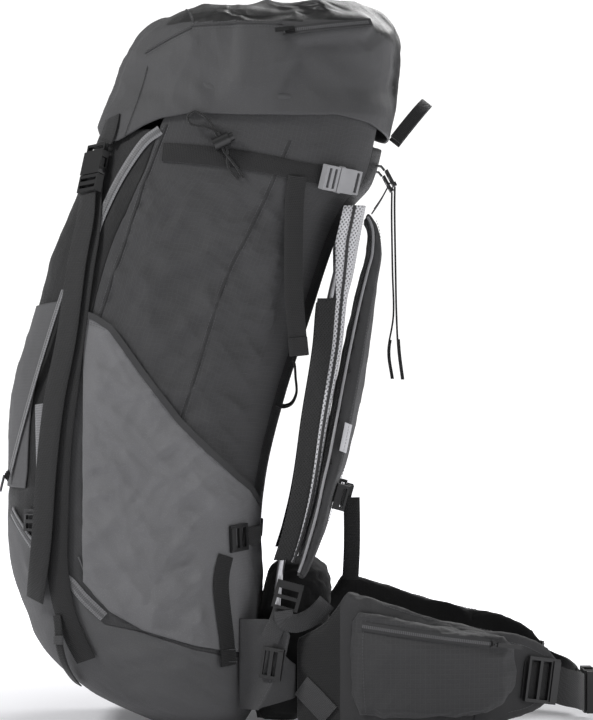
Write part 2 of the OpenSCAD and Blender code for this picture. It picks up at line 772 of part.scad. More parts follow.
module hip_fin() {
  xs = [for (i = [0:len(FIN) - 2], j = [0, 0.5])
    mix(FIN[i][0], FIN[i + 1][0], j), FIN[len(FIN) - 1][0]];
  ring = [[-1, 0.06], [-0.6, 0], [0.6, 0], [1, 0.06], [1, 0.94], [0.6, 1],
    [-0.6, 1], [-1, 0.94]];
  color(charcoal)
    loft([for (x = xs)
      let (h = fin_half(x), lo = smooth(FIN, x, 2), hi = smooth(FIN, x, 3))
      [for (q = ring) at(x, fin_y(x), mix(lo, hi, q[1]))
        + fin_n(x) * h * q[0]]]);
}

module hip_fin_right() hip_fin();
module hip_fin_left() left_of() hip_fin();

// Belt pocket: stations of x, foot, top and part of its full bulge
POCKET = [[180, 40, 122, 0.25], [188, 22, 131, 1], [212, 17, 130, 1],
  [236, 17, 126, 1], [262, 17, 121, 1], [290, 17, 116, 1],
  [318, 22, 111, 1], [336, 32, 105, 0.95], [350, 50, 92, 0.3]];
// The pocket's face is an arc, so that its zip slider can follow it
arc_r = 190;
arc_x = 255;
arc_y = 10;
zip_slope = atan(0.138);
zip_low = 98;

function arc_face(x) = arc_y - sqrt(arc_r * arc_r - pow(x - arc_x, 2));
function fin_face(x) =
  let (n = fin_n(x)) fin_y(x) + (fin_half(x) + air + 0.6) / n[1];

module belt_pocket() {
  ring = [[0, 0], [0, 1], [0.7, 1], [1, 0.95], [1, 0.12], [0.6, 0.02]];
  color(charcoal)
    loft([for (s = POCKET)
      let (inner = fin_face(s[0]), outer = mix(inner, arc_face(s[0]), s[3]))
      [for (q = ring) at(s[0], mix(inner, outer, q[0]),
        mix(s[1], s[2], q[1]))]]);
  color(pale)
    strap([for (i = [0:12]) belt_zip(mix(-20.5, 23, i / 12), 0.9)],
      [for (i = [0:12]) belt_zip_n(mix(-20.5, 23, i / 12))], 10, 1.2);
}

zip_dir = [cos(zip_slope), 0, -sin(zip_slope)];
zip_mid = at(arc_x, arc_y, zip_low + (330 - arc_x) * tan(zip_slope));
function belt_zip_n(a) = zip_dir * sin(a) + [0, -cos(a), 0];
function belt_zip(a, off) =
  let (v = belt_zip_n(a) * arc_r)
  zip_mid + [v[0] * kx, v[1] * ky, v[2] * kz] + belt_zip_n(a) * off;

module belt_pocket_right() belt_pocket();
module belt_pocket_left() left_of() belt_pocket();

module belt_zip_slider() {
  color(black)
    place(belt_zip(23, 2.6), zip_dir * cos(23) + [0, sin(23), 0],
      belt_zip_n(23))
      slider(30);
}

module belt_zip_slider_right() belt_zip_slider();
module belt_zip_slider_left() left_of() belt_zip_slider();

// Ladder lock at the fin's tip
belt_lock_o = fin_at(360, 58, web_th + 1.4);
belt_lock_x = unit(fin_at(392, 52, web_th + 2) - belt_lock_o);
module belt_lock() {
  color(black)
    place(belt_lock_o, belt_lock_x, fin_n(372))
      ladder(belt_web, 42, 4);
}

module belt_lock_right() belt_lock();
module belt_lock_left() left_of() belt_lock();

// Belt webbing from the fin to the buckle, and the stabiliser's tail
BELT = [at(412, -93.5, 44), at(425, -78, 40), at(432, -60, 36),
  at(434.5, -42, 34), at(434.5, -24, 33), at(434.5, -8, 33)];
module belt_webbing() {
  p = bend(concat([fin_at(358, 57, 0.5), fin_at(376, 54, 0.5),
    fin_at(393, 50, 0.7)], BELT), 3);
  n = [for (i = [0:len(p) - 1]) unit(cross(tangent(p, i), [0, 0, 1]))];
  tail = [for (x = [128, 134, 142, 150, 158])
    fin_at(x, mix(52, 20, (x - 126) / 32), 0.9)];
  color(black) {
    strap(p, n, belt_web, web_th);
    strap([for (i = [11:20]) p[i] - n[i] * (web_th + 0.1)],
      [for (i = [11:20]) n[i]], belt_web, web_th);
    strap(tail, [for (x = [128, 134, 142, 150, 158]) fin_n(x)], lid_web,
      web_th);
  }
}

module belt_webbing_right() belt_webbing();
module belt_webbing_left() left_of() belt_webbing();

belt_clip = at(434.5, 0, 33) + [web_th + 0.6, 2, 0];
module belt_socket() {
  color(black)
    place(belt_clip, [0, -1, 0], [1, 0, 0])
      socket(belt_web);
}

module belt_plug() {
  color(black)
    place(belt_clip, [0, -1, 0], [1, 0, 0])
      plug(belt_web);
}

// ------------------------------------------------------------ pack cords
cord_r = 1.4;
lock_p = [39, 632];
lock_off = 8.5;
lock_o = on_side(lock_p, lock_off);
lock_x = unit(on_side([33, 645], lock_off) - on_side([45, 619], lock_off));
lock_n = side_normal(lock_p);
lock_y = cross(lock_n, lock_x);

// Elastic cord of the collar: two strands through the lock and a loop
module collar_cord() {
  strand = 1.8 * lock_y;
  up = bend([on_side([62, 594], 2.6), on_side([54, 606], 5.6),
    lock_o - lock_x * 12 + strand, lock_o + strand,
    lock_o + lock_x * 12 + strand, on_side([24, 656], 9.4),
    on_side([12, 664], 10), on_side([4, 658], 10), on_side([8, 650], 9.4),
    on_side([20, 648], 9), lock_o + lock_x * 10 - strand,
    lock_o - strand, lock_o - lock_x * 10 - strand,
    on_side([46, 606], 5.6), on_side([56, 592], 2.6)], 3);
  tube(up, cord_r, 8, lock_n);
}

// Loop for a pole's shaft at the sack's back edge
module pole_cord() {
  tube(bend([at(114.6, -84, 400), at(117, -82, 394), at(118, -80, 380),
    at(119, -80, 364), at(114, -80, 352), at(105, -82, 348),
    at(96, -84, 351)], 4), cord_r, 8, [0, 1, 0]);
}

module pack_cords() {
  color(black) {
    collar_cord();
    pair()
      pole_cord();
  }
}

barrel_r = 7;
barrel_l = 9;
button_r = 4.8;
module cord_lock() {
  color(black)
    place(lock_o, lock_x, lock_n)
      difference() {
        rotate([90, 0, 0])
          cylinder(r = barrel_r, h = 2 * barrel_l, center = true, $fn = 48);
        bar(-10, 10, 8.4, -2.3, 2.3);
        translate([0, -barrel_l - 1, 0])
          rotate([-90, 0, 0])
            cylinder(r = button_r + 0.5, h = 5, $fn = 48);
      }
}

module cord_lock_button() {
  color(black)
    place(lock_o, lock_x, lock_n)
      translate([0, -barrel_l - 4.8, 0])
        rotate([-90, 0, 0])
          cylinder(r = button_r, h = 5, $fn = 48);
}

// -------------------------------------------------------------------- lid
// Lower edge of the lid by place along x
LID_EDGE = [[-101, 657], [-88, 641], [-67, 634], [-45, 650], [-30, 658],
  [1, 663], [45, 661], [118, 661], [158, 663], [193, 656], [215, 645],
  [240, 642]];
// Lid rings: height, front, back and half width
LID = [[676, -95, 229, 141], [694, -85, 228, 140], [720, -79, 231, 138],
  [743, -72, 237, 134], [762, -58, 234, 129], [774, -42, 226, 122],
  [784, -26, 206, 112], [791, -8, 160, 95], [797, 20, 120, 62],
  [800, 48, 88, 26]];
LID_INNER = [[676, -89, 223, 136], [700, -78, 221, 130],
  [705, -60, 205, 112], [706, 0, 150, 40]];
lid_cols = 48;

function lid_ring(r) = [for (j = [0:lid_cols - 1])
  let (a = j * 360 / lid_cols)
  at((r[1] + r[2]) / 2 + (r[2] - r[1]) / 2 * turn(cos(a), 2 / square),
    r[3] * turn(sin(a), 2 / square), r[0])];
function lid_foot(off) = [for (j = [0:lid_cols - 1])
  let (a = j * 360 / lid_cols, x = ring_point(a, 0.99)[0] / kx)
  skin(a, read(LID_EDGE, x) / 654, off)];

module lid_shell() {
  inner = [for (i = [len(LID_INNER) - 1:-1:0]) lid_ring(LID_INNER[i])];
  color(charcoal)
    loft(concat(inner, [lid_foot(2.6), lid_foot(6)],
      [for (r = LID) lid_ring(r)]));
}

// Place on the lid's right side
function on_lid(x, z, off) =
  let (f = smooth(LID, z, 1), b = smooth(LID, z, 2), w = smooth(LID, z, 3),
    u = (x - (f + b) / 2) / ((b - f) / 2))
  at(x, -w * pow(1 - pow(abs(u), square), 1 / square), z)
  + lid_side_n * off;
lid_side_n = unit([0, -1, 0.35]);
lid_zip_a = on_lid(112, 752, 2.6);
lid_zip_b = on_lid(150, 757, 2.6);
lid_zip_c = on_lid(186, 762, 2.6);
lid_zip_o = centre3(lid_zip_a, lid_zip_b, lid_zip_c);
lid_zip_axis = unit(cross(lid_zip_a - lid_zip_o, lid_zip_c - lid_zip_o));
lid_zip_turn =
  acos(unit(lid_zip_a - lid_zip_o) * unit(lid_zip_c - lid_zip_o));

function lid_zip_point(f) =
  lid_zip_o + around(lid_zip_a - lid_zip_o, lid_zip_axis, f * lid_zip_turn);

module lid_zip() {
  p = [for (i = [-1:12]) lid_zip_point(i / 10)];
  color(black)
    strap([for (q = p) q - lid_side_n * 1.5], [for (q = p) lid_side_n], 9,
      1.3);
}

module lid_zip_slider() {
  color(black)
    place(lid_zip_point(0) + lid_side_n * 0.4,
      lid_zip_point(0) - lid_zip_point(0.1), lid_side_n)
      slider(16);
}

module lid_sockets() {
  tab = [[-82, 632.5], [-79, 640], [-76, 650], [-74, 660]];
  color(black)
    pair() {
      place(lid_clip_o, lid_clip_x, lid_clip_n)
        socket(lid_web);
      side_strap(tab, lid_web, 6.8, web_th, 3);
    }
}

module lid_plug() {
  color(black)
    place(lid_clip_o, lid_clip_x, lid_clip_n)
      plug(lid_web);
}

module lid_plug_right() lid_plug();
module lid_plug_left() left_of() lid_plug();

LID_TAIL = [[-98.6, 575.4, 9.5], [-103, 545, 8.5], [-112, 500, 8],
  [-123, 422, 8], [-136, 355, 8], [-143, 289, 8.5], [-148, 210, 9.5],
  [-154, 145, 10]];
module lid_tail() {
  r = bend(LID_TAIL, 3);
  color(black)
    strap([for (q = r) on_side(q, q[2])], [for (q = r) side_normal(q)],
      lid_web, web_th);
}

module lid_tail_right() lid_tail();
module lid_tail_left() left_of() lid_tail();

module side_plug() {
  color(grey)
    place(side_clip_o, side_clip_x, side_clip_n)
      plug(side_web);
}

module side_plug_right() side_plug();
module side_plug_left() left_of() side_plug();

// Side tail's route under the upper strap; it hangs clear of the sack
SIDE_TAIL = [at(117, -138.6, 570), at(116, -138.8, 530),
  at(116, -138.4, 480), at(119, -138.2, 435), at(122, -138.2, 404)];
module side_tail() {
  p = bend(concat([on_side([119, 596], 4.8)], SIDE_TAIL), 3);
  n = [for (q = p) [0, -1, 0]];
  color(black) {
    strap(p, n, side_web, web_th);
    strap([for (i = [13:15]) p[i] + n[i] * (web_th + 0.05)],
      [for (i = [13:15]) n[i]], side_web + 1, web_th);
  }
}

module side_tail_right() side_tail();
module side_tail_left() left_of() side_tail();

// Haul loop behind the lid
module haul_loop() {
  p = bend([at(228.6, -30, 643), at(242, -28, 660), at(256, -20, 677),
    at(265, 0, 687), at(256, 20, 677), at(242, 28, 660),
    at(228.6, 30, 643)], 4);
  lean = unit([0.79, 0, -0.61]);
  color(black)
    strap(p, [for (i = [0:len(p) - 1]) unit(cross(tangent(p, i), lean))],
      14, 2.4);
}

module front_zip_slider() {
  n = side_normal([-187, 274]);
  color(black)
    place(zip_point(0) + n * 0.5, zip_point(0) - zip_point(0.08), n)
      slider(20);
}

module front_zip_slider_right() front_zip_slider();
module front_zip_slider_left() left_of() front_zip_slider();

front_panel();
side_panels();
rear_panel();
base_panel();
collar();
side_pockets();
front_pocket();
pack_zips();
lid_strap_webbing();
gear_loops();
compression_webbing();
compression_sockets();
frame_rod();
frame_sleeves();
back_mesh();
lumbar_pad();
harness_webbing();
ladder_locks();
belt_wings();
pack_cords();
cord_lock();
cord_lock_button();
lid_shell();
lid_zip();
lid_sockets();
lid_zip_slider();
haul_loop();
lid_plug_right();
lid_plug_left();
lid_tail_right();
lid_tail_left();
side_plug_right();
side_plug_left();
side_tail_right();
side_tail_left();
shoulder_pad_right();
shoulder_pad_left();
lifter_tail_right();
lifter_tail_left();
sternum_slider_right();
sternum_slider_left();
sternum_webbing_right();
sternum_webbing_left();
sternum_socket();
sternum_plug();
hip_fin_right();
hip_fin_left();
belt_pocket_right();
belt_pocket_left();
belt_zip_slider_right();
belt_zip_slider_left();
belt_lock_right();
belt_lock_left();
belt_webbing_right();
belt_webbing_left();
belt_socket();
belt_plug();
front_zip_slider_right();
front_zip_slider_left();
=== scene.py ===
import logging
import math
from dataclasses import dataclass, field
from enum import Enum
from typing import Callable, Optional, Sequence, Union

import bmesh
import bpy
import numpy as np
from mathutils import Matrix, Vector
from mathutils.bvhtree import BVHTree


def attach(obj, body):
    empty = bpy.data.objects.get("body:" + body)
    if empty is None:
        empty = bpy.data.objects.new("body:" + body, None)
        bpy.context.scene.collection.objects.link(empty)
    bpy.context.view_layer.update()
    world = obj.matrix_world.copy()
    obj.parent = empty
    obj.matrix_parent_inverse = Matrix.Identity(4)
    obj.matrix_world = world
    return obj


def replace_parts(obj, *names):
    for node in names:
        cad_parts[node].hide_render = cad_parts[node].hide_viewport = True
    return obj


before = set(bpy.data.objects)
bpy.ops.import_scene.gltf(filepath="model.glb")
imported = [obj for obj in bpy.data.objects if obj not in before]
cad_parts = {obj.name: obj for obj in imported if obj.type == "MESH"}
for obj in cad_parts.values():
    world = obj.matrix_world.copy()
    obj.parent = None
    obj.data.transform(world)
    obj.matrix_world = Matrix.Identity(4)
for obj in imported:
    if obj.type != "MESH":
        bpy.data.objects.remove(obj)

LOG = logging.getLogger("pack")
MM = 0.001
PACK = "pack"
# Half sizes of a sewn stitch, in metres
STITCH = (0.0012, 0.0003, 0.0002)
Points = Sequence[Sequence[float]]


class Side(Enum):
    """Wearer's right or left half of the pack."""

    RIGHT = 1
    LEFT = -1

    @property
    def word(self) -> str:
        """Word used in the names of bodies and pieces."""
        return "right" if self is Side.RIGHT else "left"

    def of(self, pts: np.ndarray) -> np.ndarray:
        """Points drawn for the right side, moved to this side.

        Args:
            pts: Points or directions with y in the second column.

        Returns:
            The same points, mirrored for the left side.
        """
        return np.asarray(pts, float) * np.array([1.0, self.value, 1.0])


# ------------------------------------------------------------------ shaders
class Graph:
    """A material's node graph."""

    def __init__(self, name: str) -> None:
        """Makes an empty material.

        Args:
            name: Name of the material.
        """
        self.material = bpy.data.materials.new(name)
        self.material.use_nodes = True
        self.tree = self.material.node_tree
        self.tree.nodes.clear()

    def node(self, kind: str, settings: Optional[dict] = None, **inputs) -> bpy.types.Node:
        """Adds one node.

        Args:
            kind: Node type.
            settings: Node properties.
            **inputs: Socket values or links, by socket name with _ for a space,
                or by number as in i0.

        Returns:
            The node.
        """
        made = self.tree.nodes.new(kind)
        for key, value in (settings or {}).items():
            setattr(made, key, value)
        for key, value in inputs.items():
            socket = made.inputs[int(key[1:])] if key[1:].isdigit() else made.inputs[key.replace("_", " ")]
            if isinstance(value, Sock):
                self.tree.links.new(value.out, socket)
            else:
                socket.default_value = value
        return made

    def sock(self, kind: str, out: Union[int, str], settings: Optional[dict] = None, **inputs) -> "Sock":
        """Adds a node and gives one of its outputs.

        Args:
            kind: Node type.
            out: Name or number of the output.
            settings: Node properties.
            **inputs: As in node().

        Returns:
            The output.
        """
        return Sock(self, self.node(kind, settings, **inputs).outputs[out])

    def uv(self) -> tuple["Sock", "Sock", "Sock"]:
        """Place on the cloth in metres.

        Returns:
            The vector, and its run across and along.
        """
        vec = self.sock("ShaderNodeTexCoord", "UV")
        parts = self.node("ShaderNodeSeparateXYZ", None, i0=vec)
        return vec, Sock(self, parts.outputs[0]), Sock(self, parts.outputs[1])

    def noise(self, vec: "Sock", scale: float, detail: float = 3.0,
            stretch: Sequence[float] = (1.0, 1.0, 1.0)) -> "Sock":
        """Soft noise from 0 to 1.

        Args:
            vec: Place.
            scale: Number of lumps in a metre.
            detail: How much fine structure it has.
            stretch: Scale of each axis.

        Returns:
            The noise.
        """
        placed = self.sock("ShaderNodeMapping", 0, None, i0=vec, i3=stretch)
        return self.sock("ShaderNodeTexNoise", 0, None, Vector=placed, Scale=scale, Detail=detail)

    def split(self, vec: "Sock") -> tuple["Sock", "Sock"]:
        """First two parts of a place.

        Args:
            vec: The place.

        Returns:
            Its x and y.
        """
        node = self.node("ShaderNodeSeparateXYZ", Vector=vec)
        return Sock(self, node.outputs["X"]), Sock(self, node.outputs["Y"])

    def mix(self, factor: "Sock", a: Sequence[float], b: Sequence[float]) -> "Sock":
        """Blend of two colours.

        Args:
            factor: 0 for a, 1 for b.
            a: First colour, or a colour socket.
            b: Second colour, or a colour socket.

        Returns:
            The colour.
        """
        return self.sock("ShaderNodeMix", 2, {"data_type": "RGBA"}, i0=factor, i6=a, i7=b)

    def bump(self, height: "Sock", depth: float, strength: float = 1.0) -> "Sock":
        """Relief from a height.

        Args:
            height: Height from 0 to 1.
            depth: Depth in metres.
            strength: How strong the relief is.

        Returns:
            The normal.
        """
        return self.sock("ShaderNodeBump", 0, None, Height=height, Distance=depth, Strength=strength)

    def surface(self, **inputs) -> bpy.types.Material:
        """Closes the graph with a plain surface.

        Args:
            **inputs: Inputs of the Principled shader.

        Returns:
            The material.
        """
        body = self.sock("ShaderNodeBsdfPrincipled", 0, None, **inputs)
        self.node("ShaderNodeOutputMaterial", None, Surface=body)
        return self.material


class Sock:
    """An output of a node, on which sums and products make Math nodes."""

    def __init__(self, graph: Graph, out: bpy.types.NodeSocket) -> None:
        """Wraps an output.

        Args:
            graph: Graph that it belongs to.
            out: The output.
        """
        self.graph, self.out = graph, out

    def math(self, op: str, *others: Union["Sock", float], first: Union["Sock", float, None] = None) -> "Sock":
        """A Math node.

        Args:
            op: Its operation.
            *others: The inputs after the first.
            first: The first input, where it isn't this socket.

        Returns:
            The result.
        """
        values = [self if first is None else first, *others]
        return self.graph.sock("ShaderNodeMath", 0, {"operation": op}, **{f"i{k}": v for k, v in enumerate(values)})

    def __add__(self, other: Union["Sock", float]) -> "Sock":
        """Sum.

        Args:
            other: Socket or number.

        Returns:
            The result.
        """
        return self.math("ADD", other)

    def __radd__(self, other: Union["Sock", float]) -> "Sock":
        """Sum with this socket second.

        Args:
            other: Socket or number.

        Returns:
            The result.
        """
        return self.math("ADD", self, first=other)

    def __sub__(self, other: Union["Sock", float]) -> "Sock":
        """Difference.

        Args:
            other: Socket or number.

        Returns:
            The result.
        """
        return self.math("SUBTRACT", other)

    def __rsub__(self, other: Union["Sock", float]) -> "Sock":
        """Difference with this socket second.

        Args:
            other: Socket or number.

        Returns:
            The result.
        """
        return self.math("SUBTRACT", self, first=other)

    def __mul__(self, other: Union["Sock", float]) -> "Sock":
        """Product.

        Args:
            other: Socket or number.

        Returns:
            The result.
        """
        return self.math("MULTIPLY", other)

    def __rmul__(self, other: Union["Sock", float]) -> "Sock":
        """Product with this socket second.

        Args:
            other: Socket or number.

        Returns:
            The result.
        """
        return self.math("MULTIPLY", self, first=other)

    def __truediv__(self, other: Union["Sock", float]) -> "Sock":
        """Quotient.

        Args:
            other: Socket or number.

        Returns:
            The result.
        """
        return self.math("DIVIDE", other)

    def __rtruediv__(self, other: Union["Sock", float]) -> "Sock":
        """Quotient with this socket second.

        Args:
            other: Socket or number.

        Returns:
            The result.
        """
        return self.math("DIVIDE", self, first=other)

    def __pow__(self, other: Union["Sock", float]) -> "Sock":
        """Power.

        Args:
            other: Socket or number.

        Returns:
            The result.
        """
        return self.math("POWER", other)

    def __rpow__(self, other: Union["Sock", float]) -> "Sock":
        """Power with this socket second.

        Args:
            other: Socket or number.

        Returns:
            The result.
        """
        return self.math("POWER", self, first=other)

    def wave(self, period: float) -> "Sock":
        """Smooth wave from 0 to 1 with this period in metres.

        Args:
            period: Period in metres.

        Returns:
            The result.
        """
        return (self * (2 * math.pi / period)).math("SINE") * 0.5 + 0.5

    def over(self, limit: float) -> "Sock":
        """1 where the value is over the limit, else 0.

        Args:
            limit: The limit.

        Returns:
            The result.
        """
        return self.math("GREATER_THAN", limit)

    def line(self, period: float, width: float) -> "Sock":
        """1 on thin lines of this period and width in metres, else 0.

        Args:
            period: Period in metres.
            width: Width in metres.

        Returns:
            The result.
        """
        return (self / period).math("FRACT").math("LESS_THAN", width / period)


def grey(level: float) -> tuple[float, float, float, float]:
    """A neutral colour with a trace of blue.

    Args:
        level: Lightness from 0 to 1.

    Returns:
        The result.
    """
    return (level, level, level * 1.03, 1.0)


@dataclass(frozen=True)
class Cloth:
    """Woven cloth: a plain weave, a reinforcing grid, creases, mottled tone and fine pale flecks."""

    name: str
    tone: float
    rough: float = 0.62
    grid: float = 0.0
    weave: float = 0.0011
    crease: float = 0.0016
    fleck: float = 0.25
    sheen: float = 0.05
    coat: float = 0.0

    def build(self) -> bpy.types.Material:
        """Returns:
            The cloth's material."""
        g = Graph(self.name)
        vec, u, v = g.uv()
        warp = u.wave(self.weave) * v.wave(self.weave)
        fold = g.noise(vec, 26, 5, (1.0, 0.45, 1.0))
        cloud = g.noise(vec, 9, 3)
        fine = g.noise(vec, 900, 2)
        tone = g.mix((cloud - 0.5) * 1.2 + 0.5, grey(self.tone * (1 - self.fleck * 0.5)),
                grey(self.tone * (1 + self.fleck * 0.5)))
        tone = g.mix(fine.over(0.62) * 0.35, tone, grey(self.tone * 1.7 + 0.004))
        height = warp * 0.10 + fold * (self.crease / 0.0012)
        if self.grid:
            rip = u.line(self.grid, 0.0007).math("MAXIMUM", v.line(self.grid, 0.0007))
            tone = g.mix(rip * 0.5, tone, grey(self.tone * 1.35 + 0.004))
            height = height + rip * 0.22
        return g.surface(Base_Color=tone, Roughness=self.rough - cloud * 0.12 + 0.06,
                Normal=g.bump(height, 0.0020, 0.9),
                         Specular_IOR_Level=0.28,
                         Sheen_Weight=self.sheen, Sheen_Roughness=0.5, Coat_Weight=self.coat, Coat_Roughness=0.32)


@dataclass(frozen=True)
class Webbing:
    """Woven strap: ribs across it and firm edges."""

    name: str
    tone: float
    rib: float = 0.0018

    def build(self) -> bpy.types.Material:
        """Returns:
            The strap's material."""
        g = Graph(self.name)
        vec, u, v = g.uv()
        ribs = v.wave(self.rib)
        threads = (u + v * 0.5).wave(0.0021)
        cloud = g.noise(vec, 40, 3)
        tone = g.mix(ribs * 0.45 + threads * 0.25 + cloud * 0.3, grey(self.tone * 0.7), grey(self.tone * 1.35))
        return g.surface(Specular_IOR_Level=0.3, Base_Color=tone, Roughness=0.68 - ribs * 0.15,
                Normal=g.bump(ribs * 0.6 + threads * 0.4, 0.0004, 0.9),
                         Sheen_Weight=0.2, Sheen_Roughness=0.45)


@dataclass(frozen=True)
class Mesh:
    """Open knitted mesh: rows of small eyes with a darker ground behind."""

    name: str
    tone: float
    eye: float = 0.0042

    def build(self) -> bpy.types.Material:
        """Returns:
            The mesh's material."""
        g = Graph(self.name)
        vec, u, v = g.uv()
        eyes = (u.wave(self.eye) * v.wave(self.eye * 1.25)).math("MAXIMUM",
                (u + self.eye / 2).wave(self.eye) * (v + self.eye * 0.625).wave(self.eye * 1.25))
        tone = g.mix(eyes.over(0.62), grey(self.tone), grey(self.tone * 0.28))
        return g.surface(Base_Color=tone, Roughness=0.8, Normal=g.bump(1 - eyes, 0.0008, 0.8), Sheen_Weight=0.2)


@dataclass(frozen=True)
class Hard:
    """Moulded plastic or metal with fine scuffs."""

    name: str
    tone: float
    rough: float
    metal: float = 0.0

    def build(self) -> bpy.types.Material:
        """Returns:
            The hard part's material."""
        g = Graph(self.name)
        vec = g.sock("ShaderNodeTexCoord", "Object")
        scuff = g.noise(vec, 420, 4, (1.0, 1.0, 3.0))
        cloud = g.noise(vec, 60, 3)
        tone = g.mix(cloud, grey(self.tone * 0.88), grey(self.tone * 1.15))
        return g.surface(Base_Color=tone, Roughness=self.rough + scuff * 0.16 - 0.08, Metallic=self.metal,
                         Normal=g.bump(scuff, 0.0002, 0.35))


class Finishes:
    """Every material of the pack, made once."""

    def __init__(self) -> None:
        """Makes the materials."""
        self.ripstop = Cloth("ripstop", 0.048, grid=0.0052).build()
        self.black_cloth = Cloth("black_cloth", 0.012, rough=0.5, grid=0.0052).build()
        self.lid_cloth = Cloth("lid_cloth", 0.062, rough=0.55, crease=0.0022).build()
        self.lid_top = Cloth("lid_top_cloth", 0.010, rough=0.40, crease=0.0026, coat=0.18).build()
        self.pocket_cloth = Cloth("pocket_twill", 0.150, rough=0.72, weave=0.0016, crease=0.0014).build()
        self.front_cloth = Cloth("front_twill", 0.085, rough=0.7, weave=0.0016, crease=0.0014).build()
        self.wing_cloth = Cloth("wing_twill", 0.070, rough=0.72, weave=0.0016).build()
        self.base_cloth = Cloth("base_twill", 0.095, rough=0.7, weave=0.0016).build()
        self.pad_cloth = Cloth("pad_cloth", 0.042, rough=0.66, crease=0.0012).build()
        self.pad_lining = Mesh("pad_lining", 0.016, 0.0034).build()
        self.foam = Cloth("ribbed_foam", 0.010, rough=0.85, crease=0.0008, weave=0.004).build()
        self.webbing = Webbing("black_webbing", 0.012).build()
        self.grey_webbing = Webbing("grey_webbing", 0.050).build()
        self.tape = Webbing("pale_tape", 0.190, 0.0026).build()
        self.teeth = Hard("zip_teeth", 0.10, 0.4).build()
        self.mesh = Mesh("back_mesh_knit", 0.62).build()
        self.piping = Cloth("pale_piping", 0.34, crease=0.0004).build()
        self.reflective = Hard("reflective_tape", 0.45, 0.3, 0.3).build()
        self.black_plastic = Hard("black_plastic", 0.012, 0.36).build()
        self.grey_plastic = Hard("grey_plastic", 0.25, 0.4).build()
        self.steel = Hard("aluminium_rod", 0.55, 0.34, 1.0).build()
        self.cord = Webbing("black_cord", 0.010, 0.0016).build()
        self.thread = Cloth("sewing_thread", 0.10, crease=0.0002).build()


# ------------------------------------------------------------------ shape
def unit(v: np.ndarray) -> np.ndarray:
    """Directions of length one.

    Args:
        v: Values or directions.

    Returns:
        The values.
    """
    v = np.asarray(v, float)
    return v / np.maximum(np.linalg.norm(v, axis=-1, keepdims=True), 1e-12)


def turn(c: np.ndarray, e: float) -> np.ndarray:
    """Signed power.

    Args:
        c: Values.
        e: Exponent.

    Returns:
        The values.
    """
    return np.sign(c) * np.abs(c) ** e


class Table:
    """Rows of drawn numbers, read by their first column."""

    def __init__(self, rows: Points) -> None:
        """Keeps the rows.

        Args:
            rows: Rows in order of their first column.
        """
        self.rows = np.array(rows, float)

    def read(self, v: np.ndarray, k: int = 1) -> np.ndarray:
        """Straight-line reading of column k at v.

        Args:
            v: Values or directions.
            k: Column, or share of the full size.

        Returns:
            The values.
        """
        return np.interp(v, self.rows[:, 0], self.rows[:, k])

    def smooth(self, v: np.ndarray, k: int = 1) -> np.ndarray:
        """Smooth reading of column k at v.

        Args:
            v: Values or directions.
            k: Column, or share of the full size.

        Returns:
            The values.
        """
        x, y = self.rows[:, 0], self.rows[:, k]
        n = len(x)
        lo, hi = np.maximum(np.arange(n) - 1, 0), np.minimum(np.arange(n) + 1, n - 1)
        m = (y[hi] - y[lo]) / (x[hi] - x[lo])
        v = np.asarray(v, float)
        i = np.clip(np.searchsorted(x, v, side="right") - 1, 0, n - 2)
        h = x[i + 1] - x[i]
        s = (v - x[i]) / h
        return ((2 * s**3 - 3 * s**2 + 1) * y[i] + (s**3 - 2 * s**2 + s) * m[i] * h
                + (3 * s**2 - 2 * s**3) * y[i + 1] + (s**3 - s**2) * m[i + 1] * h)


def bend(pts: Points, n: int) -> np.ndarray:
    """Smooth curve through points, with n steps in each span.

    Args:
        pts: Points along it.
        n: Steps in each span, or directions there.

    Returns:
        The values.
    """
    p = np.array(pts, float)
    last = len(p) - 1
    out = []
    for i in range(last):
        m0 = (p[i + 1] - p[max(i - 1, 0)]) / (2 if i > 0 else 1)
        m1 = (p[min(i + 2, last)] - p[i]) / (2 if i < last - 1 else 1)
        for j in range(n):
            s = j / n
            out.append((2 * s**3 - 3 * s**2 + 1) * p[i] + (s**3 - 2 * s**2 + s) * m0
                       + (3 * s**2 - 2 * s**3) * p[i + 1] + (s**3 - s**2) * m1)
    out.append(p[last])
    return np.array(out)


